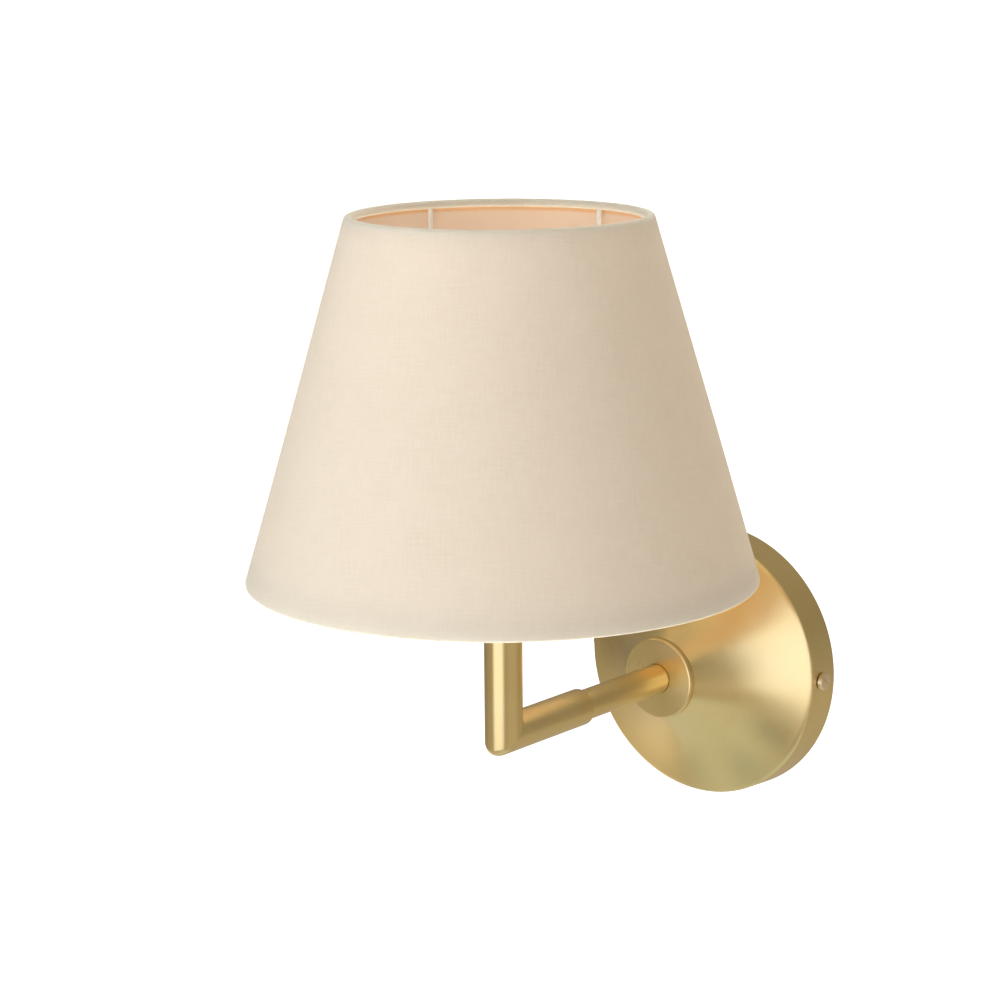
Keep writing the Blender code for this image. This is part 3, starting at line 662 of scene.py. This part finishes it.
def cover_screw(name, node, side):
    """A slotted cheese-head screw in the cover's band."""
    head = high_of(node).x if side > 0 else -low_of(node).x
    head_r = (high_of(node).z - low_of(node).z) / 2
    seat = head - HEAD_DEPTH
    inner = -high_of(node).x if side < 0 else low_of(node).x
    profile = [(0, head)] + arc((head_r - 0.5 * MM, head - 0.5 * MM), 0.5 * MM, 90, 0, 6)
    profile += [(head_r, seat), (SHANK_R, seat), (SHANK_R, inner + 0.4 * MM), (1.5 * MM, inner),
                (0, inner)]
    screw = turned(name, profile, 64, closed=False)
    slot = block(f"{name}_slot", (-6 * MM, -SLOT_HALF, head - SLOT_DEPTH), (6 * MM, SLOT_HALF, head + MM))
    slot.data.transform(Matrix.Rotation(SCREW_TURN, 4, "Z"))
    carve(screw, slot)
    turn = Matrix.Rotation(side * math.pi / 2, 4, "Y")
    screw.data.transform(Matrix.Translation((0, middle_of(node).y, 0)) @ turn)
    return screw


for hand, side in (("right", 1), ("left", -1)):
    screw_node = f"side_screw_{hand}"
    dress(cover_screw(f"cover_screw_{hand}", screw_node, side), turned_brass, "wall_mount", "turned_brass",
          screw_node)

# ---------------------------------------------------------------- arm and elbow


def arm():
    """The thin tube that stands in the flange and ends inside the sleeve."""
    inner = ARM_R - TUBE_WALL
    ring = [(inner, ARM_FRONT), (ARM_R, ARM_FRONT), (ARM_R, ARM_BACK), (inner, ARM_BACK)]
    return turned("arm_fine", eased(ring, 0.2 * MM), 96, place=WALL_SIDE)


OUTER_EASE = 2.8 * MM                # how far the mitre's outer corner is rounded off
INNER_EASE = 1.6 * MM
STRAIGHT_ROWS = (0.25, 0.5, 0.75)    # rows along each straight, which keep the brushing even


def elbow():
    """Sleeve and upright, mitred at the corner, with a softened outer corner."""
    sides = 96
    bore = SLEEVE_R - TUBE_WALL
    ease = 0.35 * MM
    squeeze = SLEEVE_R * BRUSH_SQUEEZE

    def section(radius, place):
        row = []
        for step in range(sides):
            angle = FULL_TURN * step / sides
            row.append(Vector(place(radius * math.cos(angle), radius * math.sin(angle))))
        return row

    def corner(radius, softening, steps):
        rows = []
        for step in range(steps + 1):
            turn = math.pi / 2 * step / steps

            def place(across, up, turn=turn):
                soft = 0.4 * MM + softening * max(0.0, -up / radius)
                return (across, LAMP_Y + up + soft * (1 - math.sin(turn)), up + soft * (1 - math.cos(turn)))
            rows.append(section(radius, place))
        return rows

    rows = []
    for step in range(5):
        turn = math.pi / 2 * step / 4
        radius = SLEEVE_R - ease * (1 - math.sin(turn))
        back = SLEEVE_BACK + ease * (1 - math.cos(turn))
        rows.append(section(radius, lambda a, b, back=back: (a, -back, b)))
    start = -SLEEVE_BACK - ease
    for share in STRAIGHT_ROWS:
        rows.append(section(SLEEVE_R, lambda a, b, share=share:
                            (a, start + (LAMP_Y + b - start) * share, b)))
    rows += corner(SLEEVE_R, OUTER_EASE, 12)
    for share in STRAIGHT_ROWS:
        rows.append(section(SLEEVE_R, lambda a, b, share=share:
                            (a, LAMP_Y + b, b + (UPRIGHT_TOP - b) * share)))
    rows.append(section(SLEEVE_R, lambda a, b: (a, LAMP_Y + b, UPRIGHT_TOP - 0.2 * MM)))
    rows.append(section(SLEEVE_R - 0.2 * MM, lambda a, b: (a, LAMP_Y + b, UPRIGHT_TOP)))
    rows.append(section(bore, lambda a, b: (a, LAMP_Y + b, UPRIGHT_TOP)))
    rows += reversed(corner(bore, INNER_EASE, 6))
    rows.append(section(bore, lambda a, b: (a, -SLEEVE_BACK, b)))
    lengths = [0.0]
    for i in range(len(rows)):
        lengths.append(lengths[-1] + (rows[(i + 1) % len(rows)][0] - rows[i][0]).length)

    def uv(i, j):
        return lengths[i], j / sides * SLEEVE_R * 4

    def grain(i, j):
        angle = FULL_TURN * j / sides
        return Vector((squeeze * math.cos(angle), squeeze * math.sin(angle), lengths[i]))
    return new_piece("elbow_fine", grid_mesh("elbow_fine", rows, True, None, uv, grain))


dress(arm(), tube_brass, "wall_mount", "satin_brass", "arm_tube")
dress(elbow(), tube_brass, "elbow", "satin_brass", "elbow_tube")

# ---------------------------------------------------------------- shade

SHADE_STEPS = 240
FOLD_ROWS = 14
HEM_ROWS = 3
TOP_HEM = 0.4 * MM
BOTTOM_HEM = 3.6 * MM
LOW_CORNER_R = 0.8 * MM
SEAM_ANGLE = math.radians(118)       # where the cloth's ends overlap, on the wall side
SEAM_LAP = 9.0 * MM
SEAM_RISE = 0.35 * MM
NOTCH_HALF = 1.7 * MM                # the cloth is notched round each strut, inside the top wire
NOTCH_TOP = 0.9 * MM
NOTCH_LOW = 6.2 * MM
CLOTH_WAVE = 0.12 * MM               # how far the cloth strays from a true cone
SHADE_LOW = low_of("shade_cover").z


def strut_angle(number):
    """The direction of a strut from the lamp's axis, in radians."""
    low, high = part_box(f"shade_strut_{number}")
    across = high.x - STRUT_R if high.x > -low.x else low.x + STRUT_R
    along = high.y - STRUT_R if high.y + low.y > 2 * LAMP_Y else low.y + STRUT_R
    return math.atan2(along - LAMP_Y, across)


def shade_outline():
    """The cloth's outer face: top hem, fold, cone, the lower fold under the wire, bottom hem."""
    tilt = math.degrees(TILT)
    down = Vector((math.sin(TILT), -math.cos(TILT)))
    top = arc(TOP_RING, FOLD_R, 180 + tilt, tilt, FOLD_ROWS)
    hem_top = [tuple(Vector(top[0]) + down * TOP_HEM * t / HEM_ROWS) for t in range(HEM_ROWS, 0, -1)]
    under = arc(BOTTOM_RING, FOLD_R, -90, tilt - 180, 10)
    corner = (cone_r(SHADE_LOW), SHADE_LOW)
    above = tuple(Vector(corner) - down * 4 * MM)
    low_fold = eased([above, corner, under[0]], LOW_CORNER_R, 6, closed=False)[1:-1]
    hem_bottom = [tuple(Vector(under[-1]) - down * BOTTOM_HEM * t / HEM_ROWS)
                  for t in range(1, HEM_ROWS + 1)]
    start, end = Vector(top[-1]), Vector(low_fold[0])
    cone = [tuple(start.lerp(end, t / 24)) for t in range(1, 24)]
    return hem_top + top + cone + low_fold + under + hem_bottom


def shade_cloth():
    """The cotton, cut as part of a ring, lapped at its ends and folded over both wires."""
    outer = shade_outline()
    inner = list(reversed(offset(outer, CLOTH_T)))
    profile = outer + inner
    lengths = [0.0]
    for first, second in zip(profile, profile[1:]):
        lengths.append(lengths[-1] + (Vector(second) - Vector(first)).length)
    outer_count = len(outer)
    crown = HEM_ROWS + FOLD_ROWS          # the row where the cone starts
    fan = math.sin(TILT)
    slant_top = outer[crown][0] / fan

    def lap(angle, radius):
        """How far the lapped end stands proud."""
        past = (angle - SEAM_ANGLE) % FULL_TURN * radius
        if past > SEAM_LAP + 2 * MM:
            return 0.0
        rise = min(past / (0.25 * MM), 1.0)
        fall = min(max((SEAM_LAP + 2 * MM - past) / (2 * MM), 0.0), 1.0)
        return SEAM_RISE * rise * fall

    angles = [FULL_TURN * j / SHADE_STEPS for j in range(SHADE_STEPS)]
    angles = sorted(angles + [SEAM_ANGLE - 0.0005, SEAM_ANGLE + 0.003, SEAM_ANGLE + 0.012])
    rows = []
    for i, (r, z) in enumerate(profile):
        row = []
        for angle in angles:
            wave = CLOTH_WAVE * math.sin(5 * angle + 0.7) * math.sin(z * 40)
            radius = r + wave + (lap(angle, r) if i < outer_count else 0.0)
            row.append(Vector((radius * math.cos(angle), radius * math.sin(angle), z)))
        rows.append(row)

    def uv(i, j):
        """A corner's place on the flat cut, in metres."""
        i = min(i, len(profile) - 1)
        if i < outer_count:
            slant = slant_top + lengths[i] - lengths[crown]
        else:
            slant = slant_top + lengths[2 * outer_count - 1 - i] - lengths[crown]
        turn = ((angles[j % len(angles)] - SEAM_ANGLE) % FULL_TURN - math.pi) * fan
        return slant * math.sin(turn), slant * math.cos(turn)
    mesh = grid_mesh("shade_cloth", rows, True, ON_LAMP, uv)
    return two_faced(new_piece("shade_cloth", mesh), cotton, cotton_back, outer_count, len(angles))


def two_faced(piece, front, back, front_rows, columns):
    """The front material on the first rows of a skinned piece, and the back one on the rest."""
    piece.data.materials.append(front)
    piece.data.materials.append(back)
    for face in piece.data.polygons:
        face.material_index = 0 if face.index < (front_rows - 1) * columns else 1
    return piece


def flat_cut():
    """Width, height and area of the flat piece of cotton, with its hems and lap."""
    low = cone_r(SHADE_LOW) / math.sin(TILT) + FOLD_R * 2.5 + BOTTOM_HEM
    high = cone_r(TOP_RING[1]) / math.sin(TILT) - FOLD_R * 3 - TOP_HEM
    spread = FULL_TURN * math.sin(TILT) + SEAM_LAP / low
    width = 2 * low * math.sin(spread / 2)
    height = low - high * math.cos(spread / 2)
    return width, height, spread / 2 * (low ** 2 - high ** 2)


cloth_piece = shade_cloth()
notches = []
for number in STRUTS:
    notch = block(f"notch_{number}", (TOP_RING[0] - 3.7 * MM, -NOTCH_HALF, TOP_RING[1] - NOTCH_LOW),
                  (TOP_RING[0] + 1.1 * MM, NOTCH_HALF, TOP_RING[1] - NOTCH_TOP))
    notch.data.transform(ON_LAMP @ Matrix.Rotation(strut_angle(number), 4, "Z"))
    notches.append(notch)
carve(cloth_piece, *notches)
dress(cloth_piece, None, "shade", "cream_cloth", "shade_cover")


def shade_lining():
    """The stiff lining, just inside the cloth."""
    near, far = CLOTH_T + 0.3 * MM, CLOTH_T + 0.7 * MM
    rows = 24
    top, low = TOP_RING[1] - 1.1 * MM, LINER_LOW
    heights = [top + (low - top) * t / rows for t in range(rows + 1)]
    outside = [(cone_r(z, near), z) for z in heights]
    inside = [(cone_r(z, far), z) for z in reversed(heights)]
    piece = turned("shade_lining", outside + inside, SHADE_STEPS, place=ON_LAMP)
    return two_faced(piece, lining_back, lining, len(outside), SHADE_STEPS)


dress(shade_lining(), None, "shade", "peach_lining", "shade_liner")


def wire_hoop(name, ring):
    """A wire ring of the shade's frame."""
    profile = arc(ring, RING_WIRE_R, 0, 330, 11)
    return turned(name, profile, 160, place=ON_LAMP)


dress(wire_hoop("top_hoop", TOP_RING), coated_wire, "shade", "coated_wire", "shade_top_ring")
dress(wire_hoop("bottom_hoop", BOTTOM_RING), coated_wire, "shade", "coated_wire", "shade_bottom_ring")
cut_width, cut_height, cut_area = flat_cut()


STRUT_BEND_R = 8.0 * MM
STRUT_FOOT_R = 19.6 * MM             # where the struts end on the fitter


def strut(number):
    """A wire dropped from the top ring, bent inward and welded on the fitter."""
    bend = STRUT_BEND_R
    radius, ring_z = TOP_RING
    side_view = [(radius, ring_z), (radius, ring_z - 1.5 * MM), (radius, ring_z - 30 * MM)]
    side_view += arc((radius - bend, FITTER_Z + bend), bend, 0, -90, 12)
    side_view += [(STRUT_FOOT_R, FITTER_Z)]
    place = ON_LAMP @ Matrix.Rotation(strut_angle(number), 4, "Z")
    points = [place @ Vector((r, 0, z)) for r, z in side_view]
    return swept(f"strut_{number}", points, STRUT_R, 20)


for number in STRUTS:
    dress(strut(number), coated_wire, "shade", "coated_wire", f"shade_strut_{number}")


def fitter():
    low, high = low_of("shade_fitter").z, high_of("shade_fitter").z
    edge = high_of("shade_fitter").x
    profile = eased([(FITTER_BORE, high), (edge, high), (edge, low), (FITTER_BORE, low)], 0.4 * MM)
    return turned("fitter_ring", profile, 96, place=ON_LAMP)


dress(fitter(), coated_wire, "shade", "coated_wire", "shade_fitter")

# ---------------------------------------------------------------- lampholder


def thread(pitch, depth, low, high):
    """A shape for turned(): a round screw thread between two heights."""
    def shape(angle, radius, height):
        fade = min(max((height - low) / pitch, 0.0), max((high - height) / pitch, 0.0), 1.0)
        wave = 0.5 - 0.5 * math.cos(FULL_TURN * (height / pitch - angle / FULL_TURN))
        return radius - depth * wave * fade
    return shape


def rows_between(radius, start, end, step):
    """Profile points down a straight wall, close enough together to carry a thread."""
    count = max(2, round(abs(end - start) / step))
    return [(radius, start + (end - start) * t / count) for t in range(1, count)]


def holder_body():
    """The outer skirt, threaded above the flange that the shade sits on."""
    thread_r, bore = 13.3 * MM, 8.4 * MM
    flange_top = FITTER_Z - 0.9 * MM
    flange_low = flange_top - 1.8 * MM
    top, base = HOLDER_TOP, HOLDER_BASE
    profile = [(bore, top), (thread_r - 0.5 * MM, top), (thread_r, top - 0.5 * MM)]
    profile += rows_between(thread_r, top - 0.5 * MM, flange_top, 0.22 * MM)
    profile += [(thread_r, flange_top), (HOLDER_FLANGE_R - 0.3 * MM, flange_top),
                (HOLDER_FLANGE_R, flange_top - 0.3 * MM), (HOLDER_FLANGE_R, flange_low + 0.3 * MM),
                (HOLDER_FLANGE_R - 0.3 * MM, flange_low), (thread_r, flange_low),
                (thread_r, base + 0.4 * MM), (thread_r - 0.4 * MM, base), (3 * MM, base),
                (3 * MM, base + 3 * MM), (bore, base + 3 * MM)]
    low, high = flange_top + 0.3 * MM, top - 0.6 * MM
    cut = thread(2.0 * MM, 0.55 * MM, low, high)

    def shape(angle, radius, height):
        threaded = radius > thread_r - 0.01 * MM and low < height < high
        return cut(angle, radius, height) if threaded else radius
    return turned("holder_skirt", profile, 96, place=ON_LAMP, shape=shape)


def holder_cap():
    low, top = low_of("holder_cap").z, high_of("holder_cap").z
    wide = high_of("holder_cap").x
    bore = NIPPLE_R + 0.3 * MM
    lining_r, neck_r = 12.7 * MM, 8 * MM
    profile = [(lining_r, top), (wide, top), (wide, low + 9.2 * MM), (neck_r, low + 4.2 * MM),
               (neck_r, low), (bore, low), (bore, low + 5.7 * MM), (7.6 * MM, low + 5.7 * MM),
               (lining_r, low + 10 * MM)]
    profile = eased(profile, 0.5 * MM)
    grips = 24

    def shape(angle, radius, height):
        gripped = radius > wide - 0.05 * MM and height < top - 0.6 * MM
        return radius - (0.18 * MM * (0.5 - 0.5 * math.cos(grips * angle)) if gripped else 0.0)
    return turned("holder_cup", profile, 192, place=ON_LAMP, shape=shape)


def clamp_ring():
    """The threaded ring with a ribbed edge that holds the shade down."""
    low, high = low_of("shade_ring").z, high_of("shade_ring").z
    inner = CLAMP_R - 0.9 * MM
    ring = [(FITTER_BORE, high), (CLAMP_R, high), (CLAMP_R, low), (FITTER_BORE, low)]
    profile = eased(ring, 0.5 * MM, 4)
    ribs = 32

    def shape(angle, radius, height):
        if radius < inner:
            return radius
        wave = 0.5 + 0.5 * math.tanh(3.0 * math.cos(ribs * angle))
        return radius - 0.7 * MM * wave
    return turned("clamp_ring", profile, 384, place=ON_LAMP, shape=shape)


dress(holder_body(), white_plastic, "elbow", "white_plastic", "holder_body")
dress(holder_cap(), white_plastic, "elbow", "white_plastic", "holder_cap")
dress(clamp_ring(), white_plastic, "ring", "white_plastic", "shade_ring")

# ---------------------------------------------------------------- bulb

BULB_WALL = 0.9 * MM
THREAD_RISE = 2.82 * MM              # an E14 cap's pitch
CAP_SHOULDER = CAP_BASE + 2.7 * MM
NECK_R = 7.4 * MM


def bulb_envelope():
    """The round opal glass and its neck, as a thin shell."""
    centre = BULB_TOP - BULB_R
    profile = arc((0, centre), BULB_R, 90, -52, 36)
    profile[0] = (0, BULB_TOP)
    foot = CAP_TOP + 0.3 * MM
    start = Vector(profile[-1])
    lean = Vector((NECK_R, centre - BULB_R - 1.0 * MM))
    end = Vector((NECK_R, foot))
    for step in range(1, 9):
        t = step / 8
        profile.append(tuple(start * (1 - t) ** 2 + lean * 2 * t * (1 - t) + end * t ** 2))
    inner = offset(profile, BULB_WALL)
    inner[0] = (0, BULB_TOP - BULB_WALL)
    return turned("bulb_envelope", profile + list(reversed(inner)), 96, closed=False, place=ON_LAMP)


def bulb_shell():
    """The screw cap, rolled to its thread."""
    shoulder = CAP_SHOULDER
    profile = [(0, CAP_TOP), (CAP_R - 0.2 * MM, CAP_TOP), (CAP_R, CAP_TOP - 0.3 * MM)]
    profile += rows_between(CAP_R, CAP_TOP - 0.3 * MM, shoulder, 0.24 * MM)
    profile += [(CAP_R - 0.3 * MM, shoulder), (5.2 * MM, shoulder - 0.9 * MM), (0, shoulder - 0.9 * MM)]
    cut = thread(THREAD_RISE, 0.75 * MM, shoulder + 0.4 * MM, CAP_TOP - 2.0 * MM)

    def shape(angle, radius, height):
        return cut(angle, radius, height) if radius > CAP_R - 0.01 * MM else radius
    return turned("bulb_shell", profile, 80, closed=False, place=ON_LAMP, shape=shape)


def bulb_base():
    """The black glass round the bulb's tip."""
    top = CAP_SHOULDER - 1.0 * MM
    profile = [(0, top), (5.3 * MM, top), (4.6 * MM, top - 0.9 * MM), (3.2 * MM, CAP_BASE),
               (0, CAP_BASE)]
    profile = eased(profile, 0.4 * MM, closed=False)
    return turned("bulb_insulator", profile, 48, closed=False, place=ON_LAMP)


def bulb_tip():
    low, high = low_of("bulb_tip").z, high_of("bulb_tip").z
    profile = [(0, high), (2.2 * MM, high), (2.1 * MM, high - 0.5 * MM), (1.3 * MM, low + 0.15 * MM),
               (0, low)]
    profile = eased(profile, 0.3 * MM, closed=False)
    return turned("solder_tip", profile, 32, closed=False, place=ON_LAMP)


dress(bulb_envelope(), opal, "bulb", "opal_glass", "bulb_glass")
dress(bulb_shell(), bulb_metal, "bulb", "bulb_metal", "bulb_cap")
dress(bulb_base(), black_plastic, "bulb", "black_plastic")
dress(bulb_tip(), bulb_solder, "bulb_lift", "bulb_solder", "bulb_tip")

# ---------------------------------------------------------------- finishes of the carried-over nodes

FINISHES = {
    "satin_brass": fitting_brass, "turned_brass": fitting_brass, "zinc_steel": zinc_steel,
    "white_plastic": white_plastic, "black_plastic": black_plastic, "red_fibre": red_fibre,
    "flex": flex_gold, "brown_core": brown_core, "blue_core": blue_core, "earth_core": earth_core,
    "coated_wire": coated_wire, "opal_glass": opal, "bulb_metal": bulb_metal, "bulb_solder": bulb_solder,
    "cream_cloth": cotton, "peach_lining": lining,
}
HARD_EDGED = ("zinc_steel", "white_plastic", "satin_brass", "turned_brass")
EDGE_EASE = 0.2 * MM
for part in frame["record"]["subparts"]:
    node = frame["nodes"][part["node"]]
    if node.hide_render:
        continue
    node.data.materials.clear()
    node.data.materials.append(FINISHES[part["material_slot"]])
    if part["material_slot"] in HARD_EDGED:
        node.modifiers.new("joined", "WELD").merge_threshold = 0.01 * MM
        edges = node.modifiers.new("eased", "BEVEL")
        edges.width = EDGE_EASE
        edges.segments = 2
        edges.limit_method = "ANGLE"
        edges.angle_limit = math.radians(50)

# ---------------------------------------------------------------- floor, light and camera

FLOOR_Z = -1.6
CAMERA_AZIMUTH = math.radians(38.92)
CAMERA_ELEVATION = math.radians(11.84)
CAMERA_ROLL = math.radians(-0.5)
CAMERA_PLACE = Vector((0.6582, -0.9669, 0.3142))
LENS = 99.76
SENSOR = 36.0
LIT_POINT = Vector((0, -0.12, 0.08))     # what the soft lights aim at
WHITE_LEVEL = 1.1                        # brightness of the plain white around the object
STUDIO_TINT = (0.74, 0.66, 0.54, 1)      # the warm studio that the metal mirrors


def direction(azimuth, elevation):
    """A direction from the object; azimuth 0 is -Y and 90 is +X, in radians."""
    flat = math.cos(elevation)
    return Vector((math.sin(azimuth) * flat, -math.cos(azimuth) * flat, math.sin(elevation)))


def make_camera():
    data = bpy.data.cameras.new("camera")
    data.lens = LENS
    data.sensor_width = SENSOR
    camera = bpy.data.objects.new("camera", data)
    bpy.context.scene.collection.objects.link(camera)
    back = direction(CAMERA_AZIMUTH, CAMERA_ELEVATION)
    right = Vector((math.cos(CAMERA_AZIMUTH), math.sin(CAMERA_AZIMUTH), 0))
    up = back.cross(right)
    across = right * math.cos(CAMERA_ROLL) + up * math.sin(CAMERA_ROLL)
    above = up * math.cos(CAMERA_ROLL) - right * math.sin(CAMERA_ROLL)
    turn = Matrix((across, above, back)).transposed().to_4x4()
    camera.matrix_world = Matrix.Translation(CAMERA_PLACE) @ turn
    bpy.context.scene.camera = camera


def make_floor():
    """A wide white floor, seen but not mirrored, so that the studio's tones come from the world."""
    work = bmesh.new()
    bmesh.ops.create_grid(work, x_segments=1, y_segments=1, size=200.0)
    mesh = bpy.data.meshes.new("floor")
    work.to_mesh(mesh)
    work.free()
    floor = new_piece("floor", mesh)
    floor.location.z = FLOOR_Z
    paint = bpy.data.materials.new("floor_white")
    paint.use_nodes = True
    shader = paint.node_tree.nodes["Principled BSDF"]
    shader.inputs["Base Color"].default_value = (0.9, 0.9, 0.9, 1)
    shader.inputs["Emission Color"].default_value = (1, 1, 1, 1)
    shader.inputs["Emission Strength"].default_value = WHITE_LEVEL
    mesh.materials.append(paint)
    floor.visible_glossy = False
    floor.visible_diffuse = False
    floor.visible_transmission = False
    floor.visible_shadow = False


class World:
    """The studio round the object, as soft cards in azimuth and elevation."""

    def __init__(self):
        self.world = bpy.data.worlds.new("studio")
        bpy.context.scene.world = self.world
        self.world.use_nodes = True
        self.tree = self.world.node_tree
        self.tree.nodes.clear()
        place = self.tree.nodes.new("ShaderNodeTexCoord").outputs["Generated"]
        parts = self.tree.nodes.new("ShaderNodeSeparateXYZ")
        self.tree.links.new(place, parts.inputs["Vector"])
        x, y, z = parts.outputs
        self.azimuth = self.math("ARCTAN2", x, self.math("MULTIPLY", y, -1.0))
        self.elevation = self.math("ARCSINE", z)
        self.level = None

    def math(self, operation, *values):
        return math_node(self.tree, operation, *values)

    def smooth(self, value, low, high):
        """0 to 1 as the value goes from one angle to another, in degrees."""
        return range_node(self.tree, value, math.radians(low), math.radians(high), smooth=True)

    def base(self, below, level, above):
        """Brightness from the floor through the horizon to the ceiling."""
        lower = self.smooth(self.elevation, -28, -4)
        upper = self.smooth(self.elevation, 10, 60)
        low = self.math("ADD", below, self.math("MULTIPLY", lower, level - below))
        self.level = self.math("ADD", low, self.math("MULTIPLY", upper, above - level))

    def card(self, azimuth, elevation, half_width, half_height, soft, change):
        """Add or take away light over a soft-edged patch, all in degrees."""
        turn = self.math("SUBTRACT", self.azimuth, math.radians(azimuth))
        aside = self.math("ABSOLUTE", self.math("WRAP", turn, math.pi, -math.pi))
        rise = self.math("ABSOLUTE", self.math("SUBTRACT", self.elevation, math.radians(elevation)))
        wide = self.smooth(aside, half_width + soft, half_width - soft)
        tall = self.smooth(rise, half_height + soft, half_height - soft)
        patch = self.math("MULTIPLY", wide, tall)
        self.level = self.math("ADD", self.level, self.math("MULTIPLY", patch, change))

    def close(self):
        """Shine the cards' light on the object, and plain white at the camera."""
        light = self.tree.nodes.new("ShaderNodeBackground")
        light.inputs["Color"].default_value = STUDIO_TINT
        self.tree.links.new(self.level, light.inputs["Strength"])
        white = self.tree.nodes.new("ShaderNodeBackground")
        white.inputs["Color"].default_value = (1, 1, 1, 1)
        white.inputs["Strength"].default_value = WHITE_LEVEL
        path = self.tree.nodes.new("ShaderNodeLightPath")
        mix = self.tree.nodes.new("ShaderNodeMixShader")
        out = self.tree.nodes.new("ShaderNodeOutputWorld")
        self.tree.links.new(path.outputs["Is Camera Ray"], mix.inputs["Fac"])
        self.tree.links.new(light.outputs["Background"], mix.inputs[1])
        self.tree.links.new(white.outputs["Background"], mix.inputs[2])
        self.tree.links.new(mix.outputs["Shader"], out.inputs["Surface"])


def softbox(name, azimuth, elevation, distance, width, height, radiance, lights, tint=(1, 1, 1)):
    """A soft rectangular light that faces the object. Radiance is the brightness of its face.

    lights is "metal" for a light that only mirrors and "cloth" for one that only lights matt faces.
    """
    data = bpy.data.lights.new(name, "AREA")
    data.shape = "RECTANGLE"
    data.size = width
    data.size_y = height
    data.energy = radiance * math.pi * width * height
    data.color = tint
    light = bpy.data.objects.new(name, data)
    bpy.context.scene.collection.objects.link(light)
    out = direction(math.radians(azimuth), math.radians(elevation))
    light.location = LIT_POINT + out * distance
    light.visible_glossy = lights == "metal"
    light.visible_diffuse = lights == "cloth"
    light.visible_transmission = lights == "cloth"
    light.rotation_mode = "QUATERNION"
    light.rotation_quaternion = (-out).to_track_quat("-Z", "Y")
    light.visible_camera = False


make_camera()
make_floor()
studio = World()
studio.base(0.62, 0.40, 0.50)
studio.card(-95, -42, 32, 10, 8, 0.42)
studio.card(95, -8, 32, 20, 10, 0.17)
studio.card(8, -40, 10, 6, 6, -0.55)
studio.card(-20, -53, 10, 6, 6, -0.50)
studio.card(-65, -52, 10, 6, 6, -0.45)
studio.card(-100, -14, 25, 6, 8, -0.16)
studio.close()
softbox("key_on_metal", 8, -4, 2.0, 2.3, 1.7, 1.14, "metal", (0.93, 0.99, 1.28))
softbox("low_on_metal", 0, -80, 2.3, 3.2, 3.2, 0.24, "metal", (0.67, 1.0, 1.25))
softbox("key_on_cloth", 8, -4, 2.1, 2.42, 1.79, 3.0, "cloth")
softbox("front_on_cloth", 39, 28, 2.2, 1.5, 1.2, 0.7, "cloth", (1.0, 0.93, 0.78))
softbox("left_on_cloth", -58, 38, 2.2, 1.5, 1.5, 1.9, "cloth", (0.82, 0.96, 1.0))
softbox("low_on_cloth", 0, -85, 2.2, 2.5, 2.5, 5.2, "cloth", (1.0, 0.96, 0.84))
softbox("wall_on_cloth", -141, 15, 2.2, 1.8, 1.5, 3.5, "cloth")
softbox("top_on_cloth", 170, 45, 2.2, 1.8, 1.5, 3.8, "cloth", (1.0, 0.94, 0.84))
bpy.context.scene.view_settings.view_transform = "Standard"
